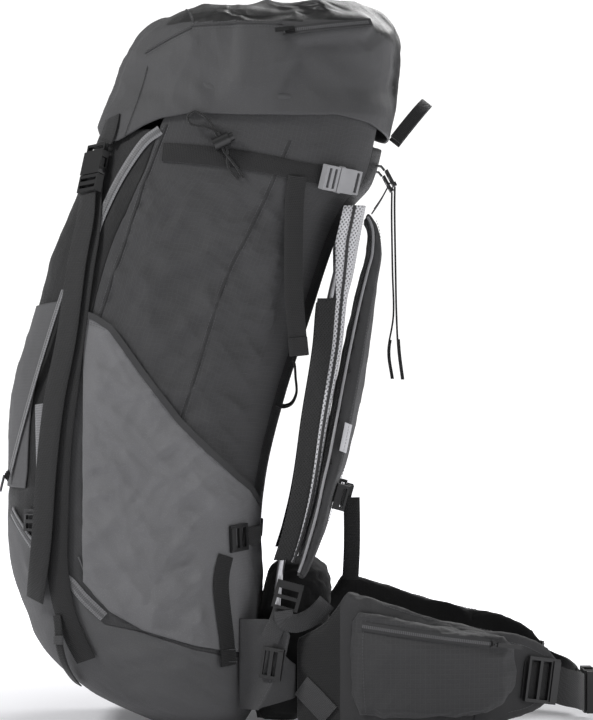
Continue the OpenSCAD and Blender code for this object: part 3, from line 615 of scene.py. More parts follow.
class SackShape:
    """Outer form of the sack, in metres."""

    HEIGHT, DEPTH, WIDTH = 0.654, 0.276, 0.310
    STATIONS = Table([
        (0, -0.11, 0.225, 0.62), (0.03, -0.27, 0.265, 0.80), (0.06, -0.405, 0.27, 0.89), (0.115, -0.555, 0.272, 0.96),
        (0.17, -0.635, 0.275, 0.985), (0.29, -0.72, 0.28, 1), (0.42, -0.715, 0.31, 1), (0.55, -0.70, 0.385, 0.985),
        (0.675, -0.62, 0.48, 0.96), (0.81, -0.53, 0.585, 0.93), (0.87, -0.465, 0.655, 0.915),
        (0.91, -0.43, 0.735, 0.91),
        (1, -0.35, 0.79, 0.88), (1.04, -0.30, 0.80, 0.87)])
    BASE_EDGE = Table([(-1, 0.362), (-0.84, 0.33), (-0.54, 0.25), (-0.275, 0.18), (0.04, 0.167), (0.465, 0.138),
            (1, 0.113)])
    A_FRONT = math.degrees(math.acos(-(0.55 ** 1.5)))
    A_BACK = math.degrees(math.acos(0.93 ** 1.5))

    def point(self, a: np.ndarray, t: np.ndarray) -> np.ndarray:
        """Point at plan angle a in degrees and height part t.

        Args:
            a: Plan angles in degrees.
            t: Height parts.

        Returns:
            The values.
        """
        a, t = np.broadcast_arrays(np.radians(a), np.asarray(t, float))
        f, b = self.STATIONS.smooth(t, 1) * self.DEPTH, self.STATIONS.smooth(t, 2) * self.DEPTH
        w = self.STATIONS.smooth(t, 3) * self.WIDTH / 2
        return np.stack([(f + b) / 2 + (b - f) / 2 * turn(np.cos(a), 2 / 3), w * turn(np.sin(a), 2 / 3),
                t * self.HEIGHT], -1)

    def normal(self, a: np.ndarray, t: np.ndarray) -> np.ndarray:
        """Outward direction at plan angle a and height part t.

        Args:
            a: Plan angles in degrees.
            t: Height parts.

        Returns:
            The values.
        """
        across = self.point(np.add(a, 1.5), t) - self.point(np.subtract(a, 1.5), t)
        return unit(np.cross(across, self.point(a, np.add(t, 0.006))
                - self.point(a, np.maximum(np.subtract(t, 0.006), 0))))

    def skin(self, a: np.ndarray, t: np.ndarray, off: Union[float, np.ndarray]) -> np.ndarray:
        """Point lifted off the form by off metres.

        Args:
            a: Plan angles in degrees.
            t: Height parts.
            off: Height over the form.

        Returns:
            The values.
        """
        return self.point(a, t) + self.normal(a, t) * np.asarray(off)[..., None]

    def base_edge(self, a: np.ndarray) -> np.ndarray:
        """Height part of the base's upper edge at plan angle a.

        Args:
            a: Plan angles in degrees.

        Returns:
            The values.
        """
        return self.BASE_EDGE.read(turn(np.cos(np.radians(a)), 2 / 3))

    def angle(self, x: np.ndarray, z: np.ndarray) -> np.ndarray:
        """Plan angle on the right side that a drawn place in millimetres falls on.

        Args:
            x: Drawn places along x in millimetres.
            z: Drawn heights in millimetres.

        Returns:
            The values.
        """
        t = np.asarray(z, float) * MM / self.HEIGHT
        f, b = self.STATIONS.smooth(t, 1) * self.DEPTH, self.STATIONS.smooth(t, 2) * self.DEPTH
        u = np.clip((np.asarray(x, float) * MM - (f + b) / 2) / ((b - f) / 2), -0.999, 0.999)
        return 360 - np.degrees(np.arccos(turn(u, 1.5)))

    def side(self, places: Points, off: Union[float, np.ndarray]) -> np.ndarray:
        """Points on the right side at drawn places x, z in millimetres, off in millimetres.

        Args:
            places: Drawn places, x and z in millimetres.
            off: Height over the form.

        Returns:
            The values.
        """
        p = np.array(places, float)
        return self.skin(self.angle(p[..., 0], p[..., 1]), p[..., 1] * MM / self.HEIGHT,
                np.asarray(off, float) * MM * np.ones(p.shape[:-1]))

    def side_normal(self, places: Points) -> np.ndarray:
        """Outward direction at drawn places on the right side.

        Args:
            places: Drawn places, x and z in millimetres.

        Returns:
            The values.
        """
        p = np.array(places, float)
        return self.normal(self.angle(p[..., 0], p[..., 1]), p[..., 1] * MM / self.HEIGHT)


SACK = SackShape()


# ------------------------------------------------------------------ makers
def material_on(obj: bpy.types.Object, *materials: bpy.types.Material) -> bpy.types.Object:
    """Gives an object its materials in place of those it has.

    Args:
        obj: The object.
        *materials: The materials, in order of their slots.

    Returns:
        The piece.
    """
    obj.data.materials.clear()
    for m in materials:
        obj.data.materials.append(m)
    return obj


def mesh_object(name: str, verts: np.ndarray, faces: list, uv: Optional[np.ndarray] = None,
        smooth: bool = True) -> bpy.types.Object:
    """Makes a mesh object.

    Args:
        name: Name of the piece.
        verts: Points in metres.
        faces: Rows of point numbers.
        uv: Place of each point on the cloth in metres.
        smooth: Whether the faces are shaded smooth.

    Returns:
        The object.
    """
    mesh = bpy.data.meshes.new(name)
    mesh.from_pydata(np.asarray(verts).tolist(), [], faces)
    if uv is not None:
        index = np.zeros(len(mesh.loops), int)
        mesh.loops.foreach_get("vertex_index", index)
        mesh.uv_layers.new(name="cloth").data.foreach_set("uv", np.asarray(uv, float)[index].ravel())
    mesh.polygons.foreach_set("use_smooth", [smooth] * len(mesh.polygons))
    obj = bpy.data.objects.new(name, mesh)
    bpy.context.scene.collection.objects.link(obj)
    mend(obj)
    return obj


def mend(obj: bpy.types.Object) -> None:
    """Turns every face of a closed mesh outward.

    Args:
        obj: The object.
    """
    bm = bmesh.new()
    bm.from_mesh(obj.data)
    bmesh.ops.recalc_face_normals(bm, faces=bm.faces)
    bm.to_mesh(obj.data)
    bm.free()


def grid_uv(grid: np.ndarray) -> np.ndarray:
    """Place of each point of a grid on the cloth, in metres.

    Args:
        grid: Grid of points.

    Returns:
        The values.
    """
    r, c = grid.shape[:2]
    across = np.zeros((r, c))
    across[:, 1:] = np.cumsum(np.linalg.norm(np.diff(grid, axis=1), axis=2), 1)
    across -= across[:, c // 2:c // 2 + 1]
    along = np.zeros((r, c))
    along[1:] = np.cumsum(np.linalg.norm(np.diff(grid, axis=0), axis=2), 0)
    return np.stack([across, along], -1)


def slab(name: str, outer: np.ndarray, inner: np.ndarray) -> bpy.types.Object:
    """Closed sheet between two grids of points.

    Args:
        name: Name of the piece.
        outer: Outer grid of points.
        inner: Inner grid of points.

    Returns:
        The piece.
    """
    r, c = outer.shape[:2]
    n = r * c
    k = np.arange(n).reshape(r, c)
    a, b, d, e = k[:-1, :-1].ravel(), k[:-1, 1:].ravel(), k[1:, 1:].ravel(), k[1:, :-1].ravel()
    faces = np.stack([a, b, d, e], 1).tolist() + np.stack([e + n, d + n, b + n, a + n], 1).tolist()
    ring = np.concatenate([k[0, :], k[1:, -1], k[-1, -2::-1], k[-2:0:-1, 0]])
    faces += [[int(ring[i]), int(ring[i - 1]), int(ring[i - 1] + n), int(ring[i] + n)] for i in range(len(ring))]
    uv = grid_uv(outer).reshape(-1, 2)
    return mesh_object(name, np.vstack([outer.reshape(-1, 3), inner.reshape(-1, 3)]), faces, np.vstack([uv, uv]))


def ribbon_mesh(p: np.ndarray, n: np.ndarray, w: Union[float, np.ndarray], th: float) -> tuple[np.ndarray, list,
        np.ndarray]:
    """Points, faces and cloth places of a strap with rounded edges.

    Args:
        p: Points along its inner face, in metres.
        n: The way its outer face looks.
        w: Width.
        th: Thickness.

    Returns:
        Points, faces and cloth places.
    """
    p = np.asarray(p, float)
    t = unit(p[np.minimum(np.arange(len(p)) + 1, len(p) - 1)] - p[np.maximum(np.arange(len(p)) - 1, 0)])
    s = unit(np.cross(t, n))
    u = np.cross(s, t)
    ring = np.array([(-0.5, 0.25), (-0.47, 0), (-0.2, 0), (0.2, 0), (0.47, 0), (0.5, 0.25), (0.5, 0.75), (0.47, 1),
            (0.2, 1.06), (-0.2, 1.06), (-0.47, 1), (-0.5, 0.75)])
    w = np.broadcast_to(w, (len(p),))
    verts = p[:, None] + s[:, None] * (ring[None, :, 0:1] * w[:, None, None]) + u[:, None] * (ring[None, :, 1:2] * th)
    run = np.concatenate([[0], np.cumsum(np.linalg.norm(np.diff(p, axis=0), axis=1))])
    uv = np.stack([np.broadcast_to(ring[None, :, 0] * w[:, None], verts.shape[:2]),
            np.broadcast_to(run[:, None], verts.shape[:2])], -1)
    m, rows = len(ring), len(p)
    faces = [[i * m + j, i * m + (j + 1) % m, (i + 1) * m + (j + 1) % m,
            (i + 1) * m + j] for i in range(rows - 1) for j in range(m)]
    faces += [list(range(m))[::-1], [(rows - 1) * m + j for j in range(m)]]
    return verts.reshape(-1, 3), faces, uv.reshape(-1, 2)


def box_mesh(centre: np.ndarray, axes: np.ndarray, half: Sequence[float]) -> tuple[np.ndarray, list]:
    """Points and faces of a small block.

    Args:
        centre: Its centre.
        axes: Its three directions.
        half: Its three half sizes.

    Returns:
        The result.
    """
    c = np.array([(x, y, z) for x in (-1, 1) for y in (-1, 1) for z in (-1, 1)], float) * np.array(half)
    faces = [[0, 1, 3, 2], [4, 6, 7, 5], [0, 4, 5, 1], [2, 3, 7, 6], [0, 2, 6, 4], [1, 5, 7, 3]]
    return np.asarray(centre) + c @ np.asarray(axes), faces


class Bundle:
    """Gathers straps, stitches and small blocks into one piece."""

    def __init__(self, name: str) -> None:
        """Starts an empty piece.

        Args:
            name: Name of the piece.
        """
        self.name, self.verts, self.faces, self.uv, self.slots = name, [], [], [], []
        self.count = 0

    def add(self, verts: np.ndarray, faces: list, uv: Optional[np.ndarray] = None, slot: int = 0) -> "Bundle":
        """Adds a closed shape.

        Args:
            verts: Points.
            faces: Faces as rows of point numbers.
            uv: Place of each point on the cloth.
            slot: Number of the material.

        Returns:
            The bundle.
        """
        self.verts.append(verts)
        self.uv.append(np.zeros((len(verts), 2)) if uv is None else uv)
        self.faces += [[i + self.count for i in f] for f in faces]
        self.slots += [slot] * len(faces)
        self.count += len(verts)
        return self

    def strap(self, p: np.ndarray, n: np.ndarray, w: float, th: float = 0.0016, slot: int = 0,
            sides: Sequence[Side] = (Side.RIGHT,)) -> "Bundle":
        """Adds a strap, in metres, on each of the sides.

        Args:
            p: Points in metres.
            n: Steps in each span, or directions there.
            w: Width.
            th: Thickness in metres.
            slot: Number of the material.
            sides: Sides of the pack that get it.

        Returns:
            The bundle.
        """
        for side in sides:
            self.add(*ribbon_mesh(side.of(p), side.of(n), w, th), slot=slot)
        return self

    def dashes(self, p: np.ndarray, n: np.ndarray, step: float, half: Sequence[float], slot: int = 0,
               sides: Sequence[Side] = (Side.RIGHT,), lift: float = 0.0) -> "Bundle":
        """Adds a row of small blocks along a line, such as stitches or teeth.

        Args:
            p: Points along the line.
            n: The way that the ground looks.
            step: Distance between blocks.
            half: Half sizes along the line, across it and outward.
            slot: Material slot.
            sides: Sides of the pack.
            lift: Distance off the ground.

        Returns:
            The piece.
        """
        run = np.concatenate([[0], np.cumsum(np.linalg.norm(np.diff(p, axis=0), axis=1))])
        at = np.arange(step / 2, run[-1], step)
        for side in sides:
            q = np.stack([np.interp(at, run, side.of(p)[:, k]) for k in range(3)], -1)
            m = unit(np.stack([np.interp(at, run, side.of(n)[:, k]) for k in range(3)], -1))
            t = unit(np.gradient(q, axis=0)) if len(q) > 1 else unit(side.of(p)[-1:] - side.of(p)[:1])
            s = unit(np.cross(m, t))
            for i in range(len(q)):
                self.add(*box_mesh(q[i] + m[i] * lift, np.array([t[i], s[i], m[i]]), half), slot=slot)
        return self

    def make(self, *materials: bpy.types.Material, smooth: bool = True) -> bpy.types.Object:
        """Makes the piece.

        Args:
            smooth: Whether it is shaded smooth.
            *materials: The materials, in order of their slots.

        Returns:
            The piece.
        """
        obj = mesh_object(self.name, np.vstack(self.verts), self.faces, np.vstack(self.uv), smooth)
        material_on(obj, *materials)
        if smooth:
            obj.data.set_sharp_from_angle(angle=math.radians(50))
        obj.data.polygons.foreach_set("material_index", self.slots)
        return obj


def tube_curve(name: str, pts: np.ndarray, radius: float, material: bpy.types.Material,
        closed: bool = False) -> bpy.types.Object:
    """Round cord, rod or piping along points, as a curve.

    Args:
        name: Name of the piece.
        pts: Points along it.
        radius: Its radius in metres.
        material: Its material.
        closed: Whether it joins its own start.

    Returns:
        The piece.
    """
    data = bpy.data.curves.new(name, "CURVE")
    data.dimensions = "3D"
    data.bevel_depth, data.bevel_resolution, data.use_fill_caps = radius, 3, True
    line = data.splines.new("POLY")
    line.points.add(len(pts) - 1)
    line.points.foreach_set("co", np.hstack([pts, np.ones((len(pts), 1))]).ravel())
    line.use_cyclic_u, line.use_smooth = closed, True
    data.materials.append(material)
    obj = bpy.data.objects.new(name, data)
    bpy.context.scene.collection.objects.link(obj)
    return obj


def finish_node(node: str, material: bpy.types.Material) -> None:
    """Gives a shown node of the part its finish.

    Args:
        node: Node of the part.
        material: Its material.
    """
    material_on(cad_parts[node], material)


@dataclass(frozen=True)
class Creases:
    """Seeded soft folds over cloth, the same at every run."""

    seed: int
    waves: int = 14
    short: float = 0.028
    long: float = 0.120
    lean: Sequence[float] = (0.55, 0.2, 1.0)

    def at(self, p: np.ndarray) -> np.ndarray:
        """Height of the folds at points, mostly from -1 to 1.

        Args:
            p: Points in metres.

        Returns:
            The values.
        """
        rng = np.random.RandomState(self.seed)
        total = np.zeros(p.shape[:-1])
        warp = 0.010 * np.sin(p[..., [1, 2, 0]] * 47 + rng.rand(3) * 6)
        q = p + warp
        for _ in range(self.waves):
            d = unit(rng.randn(3) * np.array(self.lean) + 1e-6)
            length = self.short * (self.long / self.short) ** rng.rand()
            fade = 0.5 + 0.5 * np.sin(q @ (unit(rng.randn(3)) * 2 * math.pi / (length * 3.1)) + rng.rand() * 6)
            ridge = 1 - np.abs(np.sin(q @ (d * math.pi / length) + rng.rand() * 6)) ** 0.75
            total += (ridge - 0.35) * fade * (length / self.long) ** 0.6
        return np.clip(total / math.sqrt(self.waves) * 1.5, -1.2, 1.6)


class Soft:
    """A padded piece made from the part's own solid: remeshed, puffed as cloth and creased."""

    def __init__(self, node: str, name: str, voxel: float = 0.0045, keep: Optional[Callable[[np.ndarray], bool]] = None,
                 cloth: Optional[bpy.types.Object] = None) -> None:
        """Copies the solid and gives it even cloth.

        Args:
            node: Node of the part that it stands for.
            name: Name of the piece.
            voxel: Size of the cloth's cells.
            keep: Picks the solids to keep by their centre.
            cloth: Even mesh to use in place of a copy.
        """
        self.node = node
        if cloth is not None:
            self.obj = cloth
            return
        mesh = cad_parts[node].data.copy()
        mesh.name = name
        self.obj = bpy.data.objects.new(name, mesh)
        bpy.context.scene.collection.objects.link(self.obj)
        if keep is not None:
            keep_islands(self.obj, keep)
        self._apply(self.obj.modifiers.new("even", "REMESH"), mode="VOXEL", voxel_size=voxel, use_smooth_shade=True)

    def _apply(self, mod: bpy.types.Modifier, **settings) -> None:
        """Sets a modifier and makes its result the mesh.

        Args:
            mod: The modifier.
            **settings: Its settings by name.
        """
        for key, value in settings.items():
            setattr(mod, key, value)
        made = bpy.data.meshes.new_from_object(self.obj.evaluated_get(bpy.context.evaluated_depsgraph_get()))
        self.obj.modifiers.clear()
        self.obj.data = made
        made.name = self.obj.name

    def points(self) -> np.ndarray:
        """The mesh's points."""
        co = np.zeros(len(self.obj.data.vertices) * 3)
        self.obj.data.vertices.foreach_get("co", co)
        return co.reshape(-1, 3)

    def normals(self) -> np.ndarray:
        """The way each point looks."""
        co = np.zeros(len(self.obj.data.vertices) * 3)
        self.obj.data.vertex_normals.foreach_get("vector", co)
        return co.reshape(-1, 3)

    def move(self, pts: np.ndarray) -> None:
        """Puts the mesh's points in new places.

        Args:
            pts: Points along it.
        """
        self.obj.data.vertices.foreach_set("co", pts.ravel())
        self.obj.data.update()

    def puff(self, cap: float = 0.006, pressure: float = 4.0, slack: float = 0.04, frames: int = 18,
             free: Optional[Callable[[np.ndarray], np.ndarray]] = None) -> "Soft":
        """Fills it as a cloth bag under slight pressure.

        Args:
            cap: Furthest that a point may move, in metres.
            pressure: Pressure inside.
            slack: How much larger the cloth is than the shape.
            frames: Steps of the simulation.
            free: How much of the cap each point may use.

        Returns:
            The piece.
        """
        rest = self.points()
        mod = self.obj.modifiers.new("cloth", "CLOTH")
        cloth = mod.settings
        cloth.use_pressure, cloth.uniform_pressure_force = True, pressure
        cloth.shrink_min = -slack
        cloth.effector_weights.gravity = 0
        cloth.mass, cloth.quality = 0.25, 4
        cloth.tension_stiffness = cloth.compression_stiffness = 18
        cloth.bending_stiffness = 0.25
        mod.point_cache.frame_start, mod.point_cache.frame_end = 1, frames + 1
        for f in range(1, frames + 1):
            bpy.context.scene.frame_set(f)
        self._apply(mod)
        bpy.context.scene.frame_set(1)
        step = self.points() - rest
        size = np.linalg.norm(step, axis=1, keepdims=True)
        reach = cap * (1.0 if free is None else free(rest)[:, None])
        self.move(rest + step * np.minimum(1, reach / np.maximum(size, 1e-9)))
        return self

    def crease(self, creases: Creases, depth: float, mask: Optional[Callable[[np.ndarray],
            np.ndarray]] = None) -> "Soft":
        """Adds folds to the surface.

        Args:
            creases: The folds.
            depth: Their height in metres.
            mask: How much of it each point takes.

        Returns:
            The piece.
        """
        sub = self.obj.modifiers.new("fine", "SUBSURF")
        self._apply(sub, levels=1, render_levels=1)
        p = self.points()
        h = creases.at(p) * depth * (1 if mask is None else mask(p))
        self.move(p + self.normals() * h[:, None])
        return self

    def close(self, *materials: bpy.types.Material, pick: Optional[Callable[[np.ndarray, np.ndarray],
            np.ndarray]] = None) -> bpy.types.Object:
        """Maps the cloth, gives it its materials and smooths its shading.

        Args:
            *materials: The materials.
            pick: Chooses a material's number from a face's centre and direction.

        Returns:
            The object.
        """
        mesh = self.obj.data
        count = len(mesh.polygons)
        normal, centre = np.zeros(count * 3), np.zeros(count * 3)
        mesh.polygons.foreach_get("normal", normal)
        mesh.polygons.foreach_get("center", centre)
        normal, centre = normal.reshape(-1, 3), centre.reshape(-1, 3)
        start, size = np.zeros(count, int), np.zeros(count, int)
        mesh.polygons.foreach_get("loop_start", start)
        mesh.polygons.foreach_get("loop_total", size)
        index = np.zeros(len(mesh.loops), int)
        mesh.loops.foreach_get("vertex_index", index)
        face = np.repeat(np.arange(count), size)
        p = self.points()[index]
        axis = np.abs(normal).argmax(1)[face]
        flat = np.where((axis == 0)[:, None], p[:, [1, 2]], np.where((axis == 1)[:, None], p[:, [0, 2]], p[:, [0, 1]]))
        mesh.uv_layers.new(name="cloth").data.foreach_set("uv", flat.ravel())
        mesh.polygons.foreach_set("use_smooth", [True] * count)
        material_on(self.obj, *materials)
        if pick is not None:
            mesh.polygons.foreach_set("material_index", pick(centre, normal).astype(int))
        return self.obj

    def flipped(self, name: str, node: str) -> bpy.types.Object:
        """The left side's copy of a finished right piece.

        Args:
            name: Name of the piece.
            node: Node of the part.

        Returns:
            The piece.
        """
        mesh = self.obj.data.copy()
        co = self.points() * np.array([1.0, -1.0, 1.0])
        mesh.vertices.foreach_set("co", co.ravel())
        mesh.flip_normals()
        obj = bpy.data.objects.new(name, mesh)
        bpy.context.scene.collection.objects.link(obj)
        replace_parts(obj, node)
        return obj

    def ground(self) -> BVHTree:
        """The mesh as ground on which seams and tapes are laid."""
        return BVHTree.FromObject(self.obj, bpy.context.evaluated_depsgraph_get())


def keep_islands(obj: bpy.types.Object, keep: Callable[[np.ndarray], bool]) -> None:
    """Removes the separate solids of a mesh whose centre isn't picked.

    Args:
        obj: The object.
        keep: Tells from its centre whether a solid stays.
    """
    bm = bmesh.new()
    bm.from_mesh(obj.data)
    bmesh.ops.remove_doubles(bm, verts=bm.verts, dist=1e-6)
    seen, drop = set(), []
    for v in bm.verts:
        if v in seen:
            continue
        group, queue = [], [v]
        seen.add(v)
        while queue:
            w = queue.pop()
            group.append(w)
            for e in w.link_edges:
                o = e.other_vert(w)
                if o not in seen:
                    seen.add(o)
                    queue.append(o)
        co = np.array([w.co for w in group])
        if not keep((co.min(0) + co.max(0)) / 2):
            drop += group
    bmesh.ops.delete(bm, geom=drop, context="VERTS")
    bm.to_mesh(obj.data)
    bm.free()


def hard_copy(node: str, name: str, keep: Callable[[np.ndarray], bool], material: bpy.types.Material,
        body: str) -> bpy.types.Object:
    """A moulded solid taken from a node that also holds cloth.

    Args:
        node: Node of the part.
        name: Name of the piece.
        keep: Tells from its centre whether a solid stays.
        material: Its material.
        body: Body that it rides on.

    Returns:
        The piece.
    """
    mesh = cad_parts[node].data.copy()
    obj = bpy.data.objects.new(name, mesh)
    bpy.context.scene.collection.objects.link(obj)
    keep_islands(obj, keep)
    material_on(obj, material)
    obj.data.set_sharp_from_angle(angle=math.radians(30))
    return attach(obj, body)


def lay(ground: BVHTree, places: Points, lift: float, n: int = 4) -> tuple[np.ndarray, np.ndarray]:
    """Lays a line drawn in side view on the right face of a soft piece.

    Args:
        ground: The piece.
        places: Drawn places x, z in millimetres.
        lift: Distance off the cloth in metres.
        n: Steps in each span.

    Returns:
        Points and the way the cloth looks at each.
    """
    out, look = [], []
    for x, z in bend(places, n) * MM:
        hit, normal, _, _ = ground.ray_cast(Vector((x, -0.6, z)), Vector((0, 1, 0)))
        if hit is not None:
            out.append(np.array(hit) + np.array(normal) * lift)
            look.append(np.array(normal))
    return np.array(out), np.array(look)


BOTH = (Side.RIGHT, Side.LEFT)


def at(rows: Points) -> np.ndarray:
    """Drawn points in millimetres, as metres.

    Args:
        rows: Rows of drawn numbers, or how many rows.

    Returns:
        The values.
    """
    return np.array(rows, float) * MM


def facing(p: np.ndarray, n: Sequence[float]) -> np.ndarray:
    """One direction repeated for every point.

    Args:
        p: Points in metres.
        n: Steps in each span, or directions there.

    Returns:
        The values.
    """
    return np.tile(unit(np.array(n, float)), (len(p), 1))


# ------------------------------------------------------------------ studio
@dataclass
class Studio:
    """Camera, floor and soft light."""

    lens: float = 150.0
    target: Sequence[float] = (0.119, 0.0, 0.3995)
    distance: float = 3.348

    def build(self) -> None:
        """Makes the studio."""
        scene = bpy.context.scene
        cam = bpy.data.objects.new("camera", bpy.data.cameras.new("camera"))
        cam.data.lens, cam.data.sensor_width = self.lens, 36.0
        cam.location = (self.target[0], self.target[1] - self.distance, self.target[2])
        cam.rotation_euler = (math.radians(90), 0, 0)
        cam.data.clip_end = 60
        scene.collection.objects.link(cam)
        scene.camera = cam
        scene.view_settings.view_transform = "Standard"
        self._floor()
        self._world()
        self._area("key_light", (-2.3, -1.3, 2.7), 0.7, 66)
        self._area("fill_light", (2.5, -1.6, 1.3), 1.4, 13)
        self._area("back_light", (1.1, 2.0, 2.2), 1.6, 34)

    def _floor(self) -> None:
        """Pale floor that keeps the shadow."""
        g = Graph("floor_paint")
        vec = g.sock("ShaderNodeTexCoord", "Object")
        tone = g.mix(g.noise(vec, 3), grey(0.94), grey(0.97))
        x, y = g.split(vec)
        far = ((x - self.target[0]) ** 2 + y ** 2) ** 0.5
        glow = g.mix((far - 0.30) / 0.9, grey(0.10), grey(0.95))
        paint = g.surface(Base_Color=tone, Roughness=0.9, Emission_Color=glow, Emission_Strength=1.0)
        size = 12.0
        verts = np.array([(-size, -size, 0), (size, -size, 0), (size, size, 0), (-size, size, 0)]) - (0, 0, 0.0004)
        floor = material_on(mesh_object("floor", verts, [[0, 1, 2, 3]], verts[:, :2], smooth=False), paint)

    def _world(self) -> None:
        """White surroundings, brighter to the camera than to the pack."""
        world = bpy.data.worlds.new("surroundings")
        world.use_nodes = True
        bpy.context.scene.world = world
        tree = world.node_tree
        tree.nodes.clear()
        out = tree.nodes.new("ShaderNodeOutputWorld")
        mix = tree.nodes.new("ShaderNodeMixShader")
        path = tree.nodes.new("ShaderNodeLightPath")
        soft, bright = tree.nodes.new("ShaderNodeBackground"), tree.nodes.new("ShaderNodeBackground")
        soft.inputs[0].default_value, soft.inputs[1].default_value = (1, 1, 1, 1), 0.26
        bright.inputs[0].default_value, bright.inputs[1].default_value = (1, 1, 1, 1), 1.15
        tree.links.new(path.outputs["Is Camera Ray"], mix.inputs[0])
        tree.links.new(soft.outputs[0], mix.inputs[1])
        tree.links.new(bright.outputs[0], mix.inputs[2])
        tree.links.new(mix.outputs[0], out.inputs[0])

    def _area(self, name: str, place: Sequence[float], size: float, power: float) -> None:
        """A soft light that looks at the pack.

        Args:
            name: Name of the piece.
            place: Its place.
            size: Its size in metres.
            power: Its power in watts.
        """
        data = bpy.data.lights.new(name, "AREA")
        data.size, data.energy = size, power
        lamp = bpy.data.objects.new(name, data)
        lamp.location = place
        lamp.rotation_euler = (Vector(self.target) - Vector(place)).to_track_quat("-Z", "Y").to_euler()
        bpy.context.scene.collection.objects.link(lamp)


# ------------------------------------------------------------------ cords
@dataclass
class Cords:
    """The collar's elastic cord and the two pole loops."""

    paint: Finishes
    radius: float = 0.0014
    pole: Points = ((0.1146, -0.084, 0.400), (0.117, -0.082, 0.394), (0.118, -0.080, 0.380), (0.119, -0.080, 0.364),
                    (0.114, -0.080, 0.352), (0.105, -0.082, 0.348), (0.096, -0.084, 0.351))

    def build(self) -> None:
        line = self._collar_line()
        self._cord("collar_cord", line)
        for side in BOTH:
            self._cord(f"pole_cord_{side.word}", side.of(bend(self.pole, 5)))
        LOG.info("cords: one collar loop and two pole loops")

    def _collar_line(self) -> np.ndarray:
        """Route of the cord through its lock."""
        centre = SACK.side([(39, 632)], 8.5)[0]
        along = unit(SACK.side([(33, 645)], 8.5)[0] - SACK.side([(45, 619)], 8.5)[0])
        strand = 1.8 * MM * np.cross(SACK.side_normal([(39, 632)])[0], along)

        def near(s: float, k: float) -> list:
            """Point beside the lock, s millimetres along it, on strand k.

            Args:
                s: Distance along.
                k: Column, or share of the full size.

            Returns:
                The result.
            """
            return list(centre + along * s * MM + strand * k)

        def on(x: float, z: float, off: float) -> list:
            """Point off millimetres above the drawn place x, z.

            Args:
                x: Drawn places along x in millimetres.
                z: Drawn heights in millimetres.
                off: Height over the form.

            Returns:
                The result.
            """
            return list(SACK.side([(x, z)], off)[0])

        return bend([on(62, 594, 2.6), on(54, 606, 5.6), near(-12, 1), near(0, 1), near(12, 1), on(24, 656, 9.4),
                     on(12, 664, 10), on(4, 658, 10), on(8, 650, 9.4), on(20, 648, 9), near(10, -1), near(0, -1),
                     near(-10, -1), on(46, 606, 5.6), on(56, 592, 2.6)], 4)

    def _cord(self, name: str, pts: np.ndarray) -> None:
        """One cord, shown in place of the part's cords.

        Args:
            name: Name of the piece.
            pts: Points along it.
        """
        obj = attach(tube_curve(name, pts, self.radius, self.paint.cord), PACK)
        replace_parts(obj, "pack_cords")


# ------------------------------------------------------------------ sack
LID_STRAP = ((-96, 588, 2.5), (-98, 566, 2.6), (-101, 530, 2.8), (-106, 500, 3.2), (-114, 444, 3.2), (-123, 377, 3.2),
             (-131, 310, 3.2), (-134, 243, 3.2), (-135, 186, 3.2), (-129, 141, 3.2), (-118, 108, 3.2), (-104, 80, 3.2))
UPPER_STRAP = ((-24, 622), (11, 619), (56, 614), (92, 608), (120, 602), (146, 598))
LOWER_TAIL = ((41, 190), (37, 172), (36, 154), (39, 124), (42, 98), (43, 72))
SIDE_ZIP = ((-27, 646), (-45, 632), (-67, 600), (-84, 567), (-97, 533), (-104, 490), (-107, 462))
BASE_ZIP = ((-86, 126), (-106, 145), (-121, 162), (-134, 172), (-160, 198), (-179, 223), (-188, 236))


